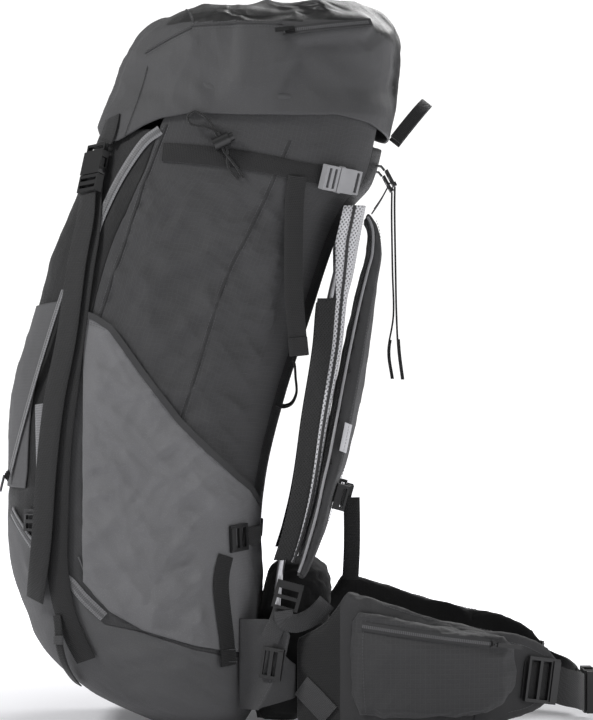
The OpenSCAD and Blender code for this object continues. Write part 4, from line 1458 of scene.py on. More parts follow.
@dataclass
class Sack:
    """The sack's panels, pockets, collar, seams and zips."""

    paint: Finishes
    folds: Creases = Creases(11)
    wrinkles: Creases = Creases(13, waves=18, short=0.012, long=0.05)
    wall: float = 0.004

    def press(self, p: np.ndarray) -> np.ndarray:
        """How free the cloth is at points: 0 under a strap or zip, 1 away from them.

        Args:
            p: Points in metres.

        Returns:
            The values.
        """
        free = np.ones(p.shape[:-1])
        lines = ((LID_STRAP, 14, 34), (UPPER_STRAP, 12, 34), (LOWER_TAIL, 12, 26), (SIDE_ZIP, 8, 22), (BASE_ZIP, 8, 20),
                 (((60, 210), (34, 206)), 18, 34), (((146, 597), (186, 593)), 14, 30),
                 (((119, 596), (120, 560)), 12, 26),
                 (((-163, 216), (-163, 240)), 12, 24), (((-134, 128), (-113, 54)), 10, 24),
                 (((-156, 352), (-154, 285)), 9, 20),
                 (((-187, 274), (-160, 370), (-128, 474)), 9, 22), (((39, 632), (60, 594)), 12, 26),
                 (((-94, 596), (-84, 640)), 18, 34))
        xz = p[..., [0, 2]] / MM
        for line, near, far in lines:
            pts = bend([q[:2] for q in line], 5)
            d = np.full(free.shape, 1e9)
            for a, b in zip(pts[:-1], pts[1:]):
                s = np.clip(((xz - a) @ (b - a)) / max(float((b - a) @ (b - a)), 1e-9), 0, 1)
                d = np.minimum(d, np.linalg.norm(xz - a - s[..., None] * (b - a), axis=-1))
            w = np.clip((d - near) / (far - near), 0, 1)
            free *= w * w * (3 - 2 * w)
        return free

    def swell(self, a: np.ndarray, t: np.ndarray) -> np.ndarray:
        """How far the filled cloth stands off the part's form.

        Args:
            a: Plan angles in degrees.
            t: Height parts.

        Returns:
            The values.
        """
        p = SACK.point(a, t)
        low = np.clip((t - 0.015) / 0.10, 0, 1)
        back = np.clip((p[..., 0] - 0.055 - 0.09 * np.clip(t - 0.45, 0, 1)) / 0.04, 0, 1) * (np.abs(p[..., 1]) < 0.125)
        free = self.press(p) * low * (1 - back)
        free = free * np.clip((0.968 - t) / 0.03, 0, 1) * np.clip((np.abs(p[..., 1]) - 0.105) / 0.03, 0.25, 1)
        return free * (0.0020 + 0.0100 * self.folds.at(p) + 0.0034 * self.wrinkles.at(p))

    def panel(self, name: str, a: np.ndarray, t: np.ndarray, material: bpy.types.Material, node: Optional[str],
              lift: float = 0.0, thick: float = 0.004, extra: Optional[np.ndarray] = None,
              side: Side = Side.RIGHT) -> bpy.types.Object:
        """One sewn panel.

        Args:
            name: Name of the piece.
            a: Plan angles of its grid.
            t: Height parts of its grid.
            material: Its cloth.
            node: Node of the part that it stands for.
            lift: Distance off the form in metres.
            thick: Thickness in metres.
            extra: More distance at each point of the grid.
            side: Side of the pack.

        Returns:
            The piece.
        """
        off = self.swell(a, t) + lift + (0 if extra is None else extra)
        outer, inner = SACK.skin(a, t, off), SACK.skin(a, t, off - thick)
        obj = material_on(slab(name, side.of(outer), side.of(inner)), material)
        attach(obj, PACK)
        if node:
            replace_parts(obj, node)
        return obj

    def build(self) -> None:
        """Makes the sack."""
        self._walls()
        self._pockets()
        self._collar()
        self._seams()
        self._zips()
        LOG.info("sack: panels, pockets, collar, seams and zips")

    def _grid(self, a0: float, a1: float, cols: int, top: float, rows: int) -> tuple[np.ndarray, np.ndarray]:
        """Plan angles and height parts of a wall's grid, from the base's edge up.

        Args:
            a0: First plan angle.
            a1: Last plan angle.
            cols: Number of columns.
            top: Height part of the upper edge.
            rows: Rows of drawn numbers, or how many rows.

        Returns:
            The result.
        """
        a = np.broadcast_to(np.linspace(a0, a1, cols), (rows, cols))
        f = np.linspace(0, 1, rows)[:, None]
        lo = SACK.base_edge(a) + 0.0006
        return a, lo + (top - lo) * f

    def _walls(self) -> None:
        """Front, side and rear panels and the base."""
        gap = 0.12
        self.panel("front_cloth", *self._grid(SACK.A_FRONT + gap, 360 - SACK.A_FRONT - gap, 120, 0.99, 170),
                self.paint.black_cloth, "front_panel")
        for side in BOTH:
            self.panel(f"side_cloth_{side.word}", *self._grid(360 - SACK.A_FRONT + gap, 360 - SACK.A_BACK - gap,
                    150, 1.02, 210),
                       self.paint.ripstop, "side_panels", side=side)
        self.panel("rear_cloth", *self._grid(-SACK.A_BACK + gap, SACK.A_BACK - gap, 60, 0.965, 110),
                self.paint.black_cloth, "rear_panel")
        cols, rows = 200, 60
        a = np.broadcast_to(np.linspace(0, 360, cols), (rows, cols))
        t = SACK.base_edge(a) * np.linspace(0, 1, rows)[:, None]
        outer, inner = SACK.skin(a, t, self.swell(a, t)), SACK.skin(a, t, self.swell(a, t) - self.wall)
        foot = SACK.point(a[:1], t[:1])
        rings = []
        for k in (0.02, 0.35, 0.7, 0.96):
            ring = foot * np.array([k, k, 0.0]) + np.array([(1 - k) * 0.0155, 0, 0])
            rings.append(ring)
        rings = np.vstack(rings)
        inner[..., 2] = np.maximum(inner[..., 2], self.wall)
        lift = np.array([0, 0, self.wall])
        base = slab("base_cloth", np.vstack([rings, outer]), np.vstack([rings + lift, inner]))
        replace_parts(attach(material_on(base, self.paint.base_cloth), PACK), "base_panel")

    def _pockets(self) -> None:
        """Side pockets and the front pocket."""
        top = Table([(-112, 450), (-96, 445), (-78, 433), (-45, 386), (-6, 335), (33, 294), (67, 262), (78, 240)])
        foot = Table([(-112, 168), (-80, 132), (-45, 112), (11, 95), (76, 80)])
        rows, cols = 90, 110
        f = np.linspace(0, 1, rows)[:, None]
        crowd = 1 - (1 - np.linspace(0, 1, cols)) ** 1.5
        x = -108 + (76 + 108) * np.broadcast_to(crowd, (rows, cols))
        z = foot.read(x, 1) + (top.read(x, 1) - foot.read(x, 1)) * f
        a, t = SACK.angle(x, z), z * MM / SACK.HEIGHT
        p = SACK.point(a, t)
        slack = np.sin(np.clip(f, 0, 1) * math.pi) ** 0.6 * self.press(p)
        extra = 0.0022 * slack + 0.0036 * Creases(23, short=0.02, long=0.08).at(p) * slack
        for side in BOTH:
            self.panel(f"side_pocket_{side.word}", a, t, self.paint.pocket_cloth, "side_pockets", lift=0.0028,
                    thick=0.0018,
                       extra=np.maximum(extra, -0.0005), side=side)
        edge = Bundle("side_pocket_hems")
        line = np.stack([x[-1], z[-1]], -1)
        p, n = SACK.side(line, 3.6), SACK.side_normal(line)
        p = p + n * (self.swell(a[-1], t[-1]))[:, None]
        edge.strap(p[::2], n[::2], 0.007, 0.0012, sides=BOTH)
        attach(edge.make(self.paint.pad_cloth), PACK)
        rows, cols = 70, 110
        a_edge = math.degrees(math.acos(-(0.80 ** 1.5)))
        a = np.broadcast_to(np.linspace(a_edge, 360 - a_edge, cols), (rows, cols))
        c = turn(np.cos(np.radians(a)), 2 / 3)
        hi = 0.735 + (0.70 - 0.735) * -c
        t = 0.40 + (hi - 0.40) * np.linspace(0, 1, rows)[:, None]
        self.panel("front_pocket_cloth", a, t, self.paint.front_cloth, "front_pocket", lift=0.0026, thick=0.0018)

    def _collar(self) -> None:
        """Gathered collar under the lid."""
        cols = 240
        a = np.linspace(0, 360, cols)
        wave = 0.0016 * np.sin(np.radians(a) * 34) + 0.0010 * np.sin(np.radians(a) * 55 + 1)
        rings = [SACK.skin(a, np.full(cols, 0.93), np.full(cols, -0.0049)),
                SACK.skin(a, np.full(cols, 0.962), np.full(cols, -0.0052))]
        for z, x, dx, dy in ((672, 66, 112, 104), (681, 67, 106, 97), (690, 68, 100, 90)):
            c, s = turn(np.cos(np.radians(a)), 0.8), turn(np.sin(np.radians(a)), 0.8)
            rings.append(np.stack([x * MM + (dx * MM + wave) * c, (dy * MM + wave) * s, np.full(cols, z * MM)], -1))
        outer = np.array(rings)
        centre = outer.mean(1, keepdims=True)
        inner = outer + unit(centre - outer) * 0.0013
        collar = material_on(slab("collar_cloth", outer, inner), self.paint.black_cloth)
        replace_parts(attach(collar, PACK), "collar")

    def _line(self, places: Points, off: float, n: int = 8) -> tuple[np.ndarray, np.ndarray]:
        """Line laid on the filled side cloth, off in millimetres.

        Args:
            places: Drawn places, x and z in millimetres.
            off: Height over the form.
            n: Steps in each span, or directions there.

        Returns:
            The result.
        """
        q = bend([p[:2] for p in places], n)
        a, t = SACK.angle(q[:, 0], q[:, 1]), q[:, 1] * MM / SACK.HEIGHT
        look = SACK.normal(a, t)
        return SACK.skin(a, t, self.swell(a, t) + off * MM), look

    def _seams(self) -> None:
        """Sewn seams on the side panels and stitches beside them."""
        seams = (((-20, 652), (-36, 610), (-60, 540), (-95, 433)),
                ((112, 634), (80, 560), (45, 489), (16, 400), (-6, 327)))
        thread = Bundle("side_stitches")
        for k, seam in enumerate(seams):
            p, n = self._line(seam, 0.1)
            for side in BOTH:
                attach(tube_curve(f"side_seam_{side.word}_{k}", side.of(p), 0.0011, self.paint.ripstop), PACK)
            for shift in (-2.6, 2.6):
                q, m = self._line([(x + shift, z) for x, z in seam], 0.15)
                thread.dashes(q, m, 0.0034, (0.0011, 0.00028, 0.0002), sides=BOTH)
        for side_off in (2.2, 4.6):
            q, m = self._line([(x, z - side_off - 3) for x, z in ((-104, 446), (-78, 433), (-45, 386), (-6, 335),
                    (33, 294), (62, 264))], 3.1)
            thread.dashes(q, m, 0.0034, (0.0011, 0.00028, 0.0002), sides=BOTH)
        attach(thread.make(self.paint.thread, smooth=False), PACK)
        edge = ((-113, 190), (-96, 150), (-60, 122), (-20, 108), (30, 98), (76, 90))
        p, n = self._line([(x, z) for x, z in edge], 0.3)
        for side in BOTH:
            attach(tube_curve(f"base_piping_{side.word}", side.of(p), 0.0011, self.paint.pocket_cloth), PACK)

    def _zips(self) -> None:
        """Zip tapes with their teeth."""
        tape, teeth = Bundle("zip_tapes"), Bundle("zip_teeth")
        for line, th in ((SIDE_ZIP, 0.0010), (BASE_ZIP, 0.0014)):
            q = bend(line, 8)
            p, n = SACK.side(q, 0.8), SACK.side_normal(q)
            tape.strap(p, n, 0.011, th, sides=BOTH)
            teeth.dashes(p, n, 0.0021, (0.0007, 0.0019, 0.0006), sides=BOTH, lift=th + 0.0003)
            for shift in (-4.4, 4.4):
                r = q + np.array([[shift * 0.8, shift * 0.5]])
                teeth.dashes(SACK.side(r, 0.8), SACK.side_normal(r), 0.003, (0.001, 0.0002, 0.0002), sides=BOTH,
                        lift=th + 0.0002)
        p, n = FrontZip().line(40)
        tape.strap(p - n * 0.0012, n, 0.009, 0.0012, sides=BOTH)
        teeth.dashes(p, n, 0.0021, (0.0007, 0.0016, 0.0002), sides=BOTH, lift=0.00015)
        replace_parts(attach(tape.make(self.paint.tape), PACK), "pack_zips")
        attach(teeth.make(self.paint.teeth, smooth=False), PACK)


class FrontZip:
    """Circle on which the front pocket's zip lies."""

    PLACES = ((-128, 474), (-160, 370), (-187, 274))

    def line(self, n: int) -> tuple[np.ndarray, np.ndarray]:
        """Points from the lower end up and the way the tape looks.

        Args:
            n: Steps in each span, or directions there.

        Returns:
            The result.
        """
        p, q, r = SACK.side(self.PLACES, 6.4)
        u, v = q - p, r - p
        w = np.cross(u, v)
        o = p + (np.cross(w, u) * (v @ v) + np.cross(v, w) * (u @ u)) / (2 * (w @ w))
        k = unit(np.cross(p - o, r - o))
        total = math.acos(float(unit(p - o) @ unit(r - o)))
        look = SACK.side_normal([self.PLACES[2]])[0]
        out, face = [], []
        for f in np.linspace(0, 1, n):
            a = -f * total
            for src, dst, base in ((r - o, out, o), (look, face, 0.0)):
                dst.append(base + src * math.cos(a) + np.cross(k, src) * math.sin(a) + k * float(k @ src)
                        * (1 - math.cos(a)))
        return np.array(out), np.array(face)


@dataclass
class SackStraps:
    """Straps, loops and buckles on the sack."""

    paint: Finishes

    def _route(self, rows: Points, off: Optional[float] = None, n: int = 6) -> tuple[np.ndarray, np.ndarray]:
        """Strap line on the part's form, off in millimetres.

        Args:
            rows: Rows of drawn numbers, or how many rows.
            off: Height over the form.
            n: Steps in each span, or directions there.

        Returns:
            The result.
        """
        r = bend(rows, n)
        lift = r[:, 2] if off is None else off
        return SACK.side(r[:, :2], lift), SACK.side_normal(r[:, :2])

    def build(self) -> None:
        """Makes the straps."""
        web = self.paint.webbing
        lid = Bundle("lid_straps")
        lid.strap(*self._route(LID_STRAP), 0.025, sides=BOTH)
        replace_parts(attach(lid.make(web), PACK), "lid_strap_webbing")
        side = Bundle("compression_straps")
        side.strap(*self._route(UPPER_STRAP, 0.8), 0.020, sides=BOTH)
        side.strap(*self._route(((58, 209.5, 3.5), (64, 209.5, 3.4), (70, 209.5, 3.3), (76, 210, 3.2))), 0.020,
                sides=BOTH)
        p, n = self._route(LOWER_TAIL, 3.2)
        side.strap(p, n, 0.020, sides=BOTH)
        side.strap(p[-5:] + n[-5:] * 0.0016, n[-5:], 0.020, 0.0012, sides=BOTH)
        for k in (-2, -5):
            side.dashes(np.array([p[k] - np.array([0.009, 0, 0]), p[k] + np.array([0.009, 0, 0])]), n[[k, k]],
                    0.0022, (0.0008, 0.0003, 0.0003), slot=1, sides=BOTH, lift=0.003)
        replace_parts(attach(side.make(web, self.paint.thread), PACK), "compression_webbing")
        loops = Bundle("gear_loop_straps")
        loops.strap(*self._route(((-134, 128, 5.6), (-131, 118, 8), (-127, 100, 13), (-122, 82, 13), (-117, 64, 8),
                (-113, 54, 5.2)), n=8), 0.010, 0.0014, sides=BOTH)
        p, n = self._route(((-156, 352), (-155, 320), (-154, 285)), 0.8, 8)
        loops.strap(p, n, 0.012, 0.0014, slot=1, sides=BOTH)
        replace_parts(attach(loops.make(web, self.paint.tape), PACK), "gear_loops")
        hard_copy("gear_loops", "gear_clips", lambda c: 0.20 < c[2] < 0.26, self.paint.black_plastic, PACK)
        keeper = Bundle("axe_loop_keeper")
        p, n = self._route(((-128.6, 108, 10.6), (-127.8, 104, 11.6), (-127, 100, 13)), n=3)
        keeper.strap(p + n * 0.0015, n, 0.013, 0.0016, sides=BOTH)
        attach(keeper.make(self.paint.grey_webbing), PACK)
        LOG.info("sack straps: lid straps, compression straps and gear loops")


# ------------------------------------------------------------------ back
@dataclass
class Back:
    """Frame rod, sleeves, mesh back and lumbar pad."""

    paint: Finishes
    leg: Points = ((92, -107, 34), (94, -110, 70), (97, -112, 120), (100, -112, 160), (106, -112, 196),
            (117, -112, 239), (130, -112, 289),
                   (141, -112, 355), (148, -112, 412), (157, -112, 466), (170, -112, 520), (177.6, -108, 547),
                   (181.7, -92, 559))
    face: Table = field(default_factory=lambda: Table([(182, 118, 4), (211, 128, 5), (260, 141, 7), (337, 154, 9),
            (412, 168, 11),
                                                       (466, 174, 12), (490, 180, 19), (528, 187, 26), (566, 194, 24)]))

    def build(self) -> None:
        """Makes the back."""
        leg = at(bend(self.leg, 6))
        rod = tube_curve("frame_rod_tube", np.vstack([leg, Side.LEFT.of(leg[::-1])]), 0.004, self.paint.steel)
        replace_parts(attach(rod, PACK), "frame_rod")
        self._sleeves()
        self._mesh()
        pad = Soft("lumbar_pad", "lumbar_foam", 0.005).puff(0.004)
        ribs = lambda p: (np.sin(p[:, 2] * 2 * math.pi / 0.011) * 0.5 + 0.1) * np.clip((p[:, 0] - 0.118) / 0.02, 0, 1)
        pad.crease(Creases(5, short=0.02, long=0.06), 0.0006)
        p = pad.points()
        pad.move(p + pad.normals() * (0.0012 * ribs(p) * (p[:, 2] > 0.085))[:, None])
        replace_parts(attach(pad.close(self.paint.foam), PACK), "lumbar_pad")
        LOG.info("back: rod, sleeves, mesh and lumbar pad")

    def _sleeves(self) -> None:
        """Elastic sleeves from the rod to the mesh."""
        for side in BOTH:
            z = np.linspace(184, 466, 90)[:, None]
            d = np.linspace(0, 20, 8)[None, :]
            x = self.face.smooth(z) - self.face.read(z, 2) - 0.4 - d
            y = np.full(x.shape, -121.0) + 0.25 * np.sin(z / 9)
            outer = np.stack([x, y, z + 0 * x], -1) * MM
            inner = outer + np.array([0, 0.0042, 0])
            obj = material_on(slab(f"frame_sleeve_{side.word}", side.of(outer), side.of(inner)), self.paint.pad_lining)
            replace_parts(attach(obj, PACK), "frame_sleeves")

    def _mesh(self) -> None:
        """Mesh back, bowed between its sides."""
        z = np.linspace(182, 566, 150)[:, None]
        y = np.concatenate([[-121.5, -121, -119.5, -118, -113, -108], np.linspace(-104, 104, 60),
                [108, 113, 118, 119.5, 121, 121.5]])[None, :]
        part = np.interp(np.abs(y), [0, 108, 118, 121, 121.5], [0, 0, 0.15, 0.5, 1])
        dip = 6 * (1 - np.clip(np.abs(y) / 108, 0, 1) ** 2) * np.clip((546 - z) / 100, 0, 1)
        x = self.face.smooth(z) - self.face.read(z, 2) * part - dip
        outer = np.stack([x, y + 0 * x, z + 0 * x], -1) * MM
        inner = outer - np.array([0.003, 0, 0]) * (part < 1)[...,
                None] - np.array([0, 1, 0]) * (np.sign(y) * 0.003 * (part > 0.1))[..., None]
        mesh = material_on(slab("back_mesh_knit", outer, inner), self.paint.mesh)
        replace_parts(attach(mesh, PACK), "back_mesh")
        for side in BOTH:
            edge = outer[:, 1] + np.array([0, -0.0006, 0])
            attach(tube_curve(f"mesh_binding_{side.word}", side.of(edge), 0.0017, self.paint.pad_cloth), PACK)


# ------------------------------------------------------------------ harness
@dataclass
class Harness:
    """Shoulder pads, load lifters, sternum strap and adjusters."""

    paint: Finishes
    stations: Points = ((195.9, -46, 560, 56, 0.30, 0), (204, -50, 541, 62, 0.42, 0), (205, -54, 515, 66, 0.55, 2),
            (200, -58, 490, 68, 0.7, 3),
                        (192.5, -64, 451, 70, 0.85, 5), (180, -76, 380, 70, 1, 8), (164.5, -88, 305, 68, 0.95, 7),
                        (155.5, -94, 270, 66, 0.88, 6),
                        (145.5, -100, 231, 60, 0.75, 5), (132, -107, 190, 44, 0.6, 4), (123, -111, 168, 30, 0.45, 3))
    thickness: float = 16.0

    def rail(self, across: float, up: float, lift: float, n: int = 6) -> tuple[np.ndarray, np.ndarray]:
        """Line along the right pad.

        Args:
            across: Part of the half width, from -1 at the outer edge to 1.
            up: Part of the half thickness, 1 on the outer face and -1 on the wearer's.
            lift: Distance off the pad in metres.
            n: Steps in each span.

        Returns:
            Points and the way the pad looks there.
        """
        c = bend([q[:3] for q in self.stations], n)
        s = bend([q[3:] for q in self.stations], n)
        t = unit(np.gradient(c, axis=0))
        side = np.stack([np.sin(np.radians(s[:, 2])), np.cos(np.radians(s[:, 2])), np.zeros(len(s))], -1)
        face = unit(np.cross(side, t))
        side = np.cross(t, face)
        look = -face * up + side * across * 0.6
        p = c + side * (across * s[:, :1] / 2) - face * (up * s[:, 1:2] * self.thickness / 2)
        return p * MM + unit(look) * lift, unit(look)

    def build(self) -> None:
        """Makes the harness."""
        self._pads()
        self._webbing()
        self._tails()
        self._sternum()
        LOG.info("harness: pads, lifters, sternum strap and adjusters")

    def _pads(self) -> None:
        """Puffed shoulder pads with their piping and stitches."""
        calm = lambda p: np.clip(np.abs(p[:, 2] - 0.252) / 0.035, 0.12, 1) * np.clip((0.556 - p[:, 2]) / 0.03, 0, 1)
        pad = Soft("shoulder_pad_right", "shoulder_pad_cloth_right", 0.0038).puff(0.0034, 3.0, 0.03, free=calm)
        pad.crease(Creases(31, short=0.022, long=0.07), 0.0011, lambda p: calm(p))
        pad.close(self.paint.pad_cloth, self.paint.pad_lining, pick=lambda c, n: (n[:, 0] < -0.25) & (c[:, 2] < 0.55))
        left = pad.flipped("shoulder_pad_cloth_left", "shoulder_pad_left")
        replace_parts(pad.obj, "shoulder_pad_right")
        for side, obj in ((Side.RIGHT, pad.obj), (Side.LEFT, left)):
            body = f"shoulder_{side.word}"
            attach(obj, body)
            for across in (-1.0, 1.0):
                p, _ = self.rail(across, -0.55, 0.0)
                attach(tube_curve(f"pad_piping_{side.word}_{'outer' if across < 0 else 'inner'}", side.of(p[3:]),
                        0.0015, self.paint.piping), body)
            trim = Bundle(f"pad_trim_{side.word}")
            for across in (-0.84, 0.84):
                p, n = self.rail(across, 1.0, 0.0008, 8)
                trim.dashes(p[6:-4], n[6:-4], 0.0036, STITCH, sides=(side,), lift=0.0012)
            p, n = self.rail(-0.86, 1.0, 0.0009)
            pick = (p[:, 2] > 0.300) & (p[:, 2] < 0.335)
            trim.strap(p[pick], n[pick], 0.014, 0.0009, slot=1, sides=(side,))
            p, n = self.rail(0.0, 1.0, 0.0014)
            pick = (p[:, 2] > 0.285) & (p[:, 2] < 0.52)
            trim.strap(p[pick], n[pick], 0.020, 0.0012, slot=2, sides=(side,))
            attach(trim.make(self.paint.thread, self.paint.reflective, self.paint.grey_webbing), body)

    def _webbing(self) -> None:
        """Lifter straps and the shoulder adjusters' webbing."""
        b = Bundle("harness_straps")
        b.strap(at([(207.4, -52, 612), (211.6, -52, 611.5), (215, -52, 607.2)]),
                np.array([(0, 0, 1), (0.5, 0, 1), (1, 0, 0.6)]), 0.020, sides=BOTH)
        for pts, n in ((((221, -52, 594.5), (212.6, -51, 579), (203.8, -50, 566)), (1, 0, -0.6)),
                       (((90, -133.2, 99), (95, -133.2, 111), (99.6, -133, 119.5), (102.5, -126.4, 127.5),
                       (104, -125.3, 133)), (0, -1, 0)),
                       (((105, -136.2, 131), (107, -136.8, 121), (118, -130, 117), (132, -122, 121),
                       (143, -118.5, 129), (152, -117, 139)), (0, -1, 0))):
            p = at(bend(pts, 8))
            b.strap(p, facing(p, n), 0.020, sides=BOTH)
        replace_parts(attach(b.make(self.paint.grey_webbing), PACK), "harness_webbing")

    def _tails(self) -> None:
        """Load lifters' hanging tails with folded ends."""
        for side, end in ((Side.RIGHT, 234), (Side.LEFT, 226)):
            p = at(bend([(226.2, -52, 589.2), (226, -52, 560), (227, -52, 500), (228, -52, 450),
                    (end - 4, -52, 410), (end, -52, 378)], 6))
            b = Bundle(f"lifter_tail_strap_{side.word}")
            b.strap(p, facing(p, (1, 0, 0)), 0.020, sides=(side,))
            b.strap(p[22:] + at([(1.65, 0, 0)]), facing(p[22:], (1, 0, 0)), 0.020, sides=(side,))
            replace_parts(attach(b.make(self.paint.webbing), f"lifter_tail_{side.word}"), f"lifter_tail_{side.word}")

    def _sternum(self) -> None:
        """Sternum straps and the right one's tail."""
        look = unit(np.array([1.0, 0, -0.27]))
        band = at([(160.8, 0, 252)])[0] + look * 0.0084
        for side, end in ((Side.RIGHT, 14), (Side.LEFT, 10)):
            b = Bundle(f"sternum_strap_{side.word}")
            p = band + np.stack([np.zeros(24), -np.linspace(98, end, 24) * MM, np.zeros(24)], -1)
            b.strap(p, facing(p, look), 0.020, sides=(side,))
            if side is Side.RIGHT:
                p = at(bend([(179.8, -36, 248), (180.2, -36, 220), (180, -36, 190), (178.4, -36, 157)], 8))
                b.strap(p, facing(p, (0, -1, 0)), 0.018)
            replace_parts(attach(b.make(self.paint.webbing), f"sternum_{side.word}"), f"sternum_webbing_{side.word}")


# ------------------------------------------------------------------ hip belt
@dataclass
class HipBelt:
    """Wings, fins, pockets and webbing of the hip belt."""

    paint: Finishes
    fin: Table = field(default_factory=lambda: Table([
        (120, -116, 8, 100, 0.55), (134, -124, 6, 108, 0.8), (150, -131, 5, 118, 0.9), (164, -137, 4, 137, 0.9),
        (176, -141, 3, 153, 0.95),
        (212, -149, 2.5, 144, 1), (250, -152, 2.5, 131, 1), (290, -148, 3, 121, 1), (325, -138, 8, 113, 0.9),
        (350, -127, 14, 107, 0.8),
        (375, -113, 21, 98, 0.7), (390, -103, 30, 88, 0.6), (400, -96, 42, 76, 0.45)]))

    def on_fin(self, x: Sequence[float], z: Sequence[float], off: float) -> tuple[np.ndarray, np.ndarray]:
        """Points on the right fin's outer face, off in millimetres, and the way it looks.

        Args:
            x: Drawn places along x in millimetres.
            z: Drawn heights in millimetres.
            off: Height over the form.

        Returns:
            The result.
        """
        x, z = np.array(x, float), np.array(z, float)
        dy = (self.fin.smooth(x + 1) - self.fin.smooth(x - 1)) / 2
        n = unit(np.stack([dy, -np.ones_like(x), np.zeros_like(x)], -1))
        p = np.stack([x, self.fin.smooth(x), z], -1) + n * (self.fin.smooth(x, 4)[:, None] * 8.5 + off)
        return p * MM, n

    def build(self) -> None:
        """Makes the belt."""
        self._wings()
        fin = self._fins()
        self._pockets()
        self._webbing()
        self._stitches(fin)
        LOG.info("hip belt: wings, fins, pockets and webbing")

    def _wings(self) -> None:
        """Wings that tie the sack's lower corners to the belt."""
        edge = Table([(22, 76), (50, 92), (76, 106), (104, 112), (122, 104)])
        z = np.linspace(24, 121, 70)
        front = np.stack([edge.read(z), np.full(70, -130.6), z], -1)
        root = np.stack([np.full(70, 117.9), np.full(70, -117.0), z], -1)
        reach = np.clip((z - 26) / 10, 0.03, 1) * np.clip((82 - z) / 10, 0.03, 1)
        rear = SACK.side(np.stack([np.full(70, 55.0), z], -1), 2.8) / MM
        cols = [rear + (front - rear) * f for f in np.linspace(0, 1, 26)] + [front + (root - front)
                * (reach * f)[:, None] for f in np.linspace(0.1, 1, 10)]
        grid = np.stack(cols, 1) * MM
        dent = Creases(41, short=0.02, long=0.07).at(grid) * 0.0008 * np.clip(1 - np.abs(np.linspace(-1, 1, 36)), 0,
                1)[None, :]
        for side in BOTH:
            outer, inner = grid - np.array([0, 0.002, 0]) + np.array([0, 1, 0]) * np.abs(dent)[...,
                    None], grid + np.array([0, 1, 0]) * np.abs(dent)[..., None]
            wing = material_on(slab(f"belt_wing_{side.word}", side.of(outer), side.of(inner)), self.paint.wing_cloth)
            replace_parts(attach(wing, PACK), "belt_wings")
        sew = Bundle("belt_wing_stitches")
        p = grid[3:67, 22] - np.array([0, 0.0021, 0])
        sew.dashes(p, facing(p, (0, -1, 0)), 0.0036, STITCH, sides=BOTH)
        p = grid[3:67, 24] - np.array([0, 0.0021, 0])
        sew.dashes(p, facing(p, (0, -1, 0)), 0.0036, STITCH, sides=BOTH)
        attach(sew.make(self.paint.thread, smooth=False), PACK)

    def _fins(self) -> Soft:
        """Puffed fins of the belt."""
        calm = lambda p: np.clip((0.350 - p[:, 0]) / 0.03, 0, 1) * np.clip((p[:, 0] - 0.165) / 0.02, 0, 1)
        fin = Soft("hip_fin_right", "hip_fin_cloth_right", 0.0042).puff(0.004, 4.0, 0.04, free=calm)
        fin.crease(Creases(51, short=0.025, long=0.09), 0.0016, calm)
        fin.close(self.paint.pad_cloth, self.paint.foam, self.paint.webbing,
                  pick=lambda c, n: np.where(n[:, 1] > 0.3, 1, np.where(c[:, 0] < 0.166, 2, 0)))
        left = fin.flipped("hip_fin_cloth_left", "hip_fin_left")
        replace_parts(fin.obj, "hip_fin_right")
        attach(fin.obj, "hip_fin_right")
        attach(left, "hip_fin_left")
        return fin

    def _pockets(self) -> None:
        """Zipped pockets on the fins."""
        slope = math.atan(0.138)
        run = np.array([math.cos(slope), 0, -math.sin(slope)])
        mid = np.array([255, 10, 98 + 75 * 0.138])
        pocket = Soft("belt_pocket_right", "belt_pocket_cloth_right", 0.004,
                keep=lambda c: c[2] < 0.09).puff(0.0055, 5.0, 0.06)
        pocket.crease(Creases(61, short=0.02, long=0.08), 0.0028, lambda p: np.clip((p[:, 2] - 0.016) / 0.01, 0, 1))
        p = pocket.points()
        arc = (10 - np.sqrt(np.maximum(190.0**2 - (p[:, 0] / MM - 255) ** 2, 1))) * MM
        zipz = (mid[2] - (p[:, 0] / MM - 255) * 0.138) * MM
        near = np.clip((np.abs(p[:, 2] - zipz) - 0.006) / 0.012, 0, 1)
        low = arc - 0.0006 - 0.0062 * near * near * (3 - 2 * near)
        p[:, 1] = np.where(p[:, 1] < arc + 0.006, np.maximum(p[:, 1], low), p[:, 1])
        pocket.move(p)
        pocket.close(self.paint.ripstop)
        left = pocket.flipped("belt_pocket_cloth_left", "belt_pocket_left")
        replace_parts(pocket.obj, "belt_pocket_right")
        a = np.radians(np.linspace(-20.5, 23, 40))[:, None]
        n = run * np.sin(a) + np.array([0, -1, 0]) * np.cos(a)
        line = (mid + n * 190.9) * MM
        edge, look = lay(pocket.ground(), ((192, 26), (190, 60), (189, 100), (192, 124)), 0.0003, 8)
        for side, obj in ((Side.RIGHT, pocket.obj), (Side.LEFT, left)):
            body = f"hip_fin_{side.word}"
            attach(obj, body)
            tape = Bundle(f"belt_zip_tape_{side.word}")
            tape.strap(line, n, 0.010, 0.0012, sides=(side,))
            tape.dashes(line, n, 0.0021, (0.0007, 0.0017, 0.0003), slot=1, sides=(side,), lift=0.0013)
            tape.dashes(edge, look, 0.0036, STITCH, slot=2, sides=(side,))
            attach(tape.make(self.paint.pad_cloth, self.paint.teeth, self.paint.thread), body)

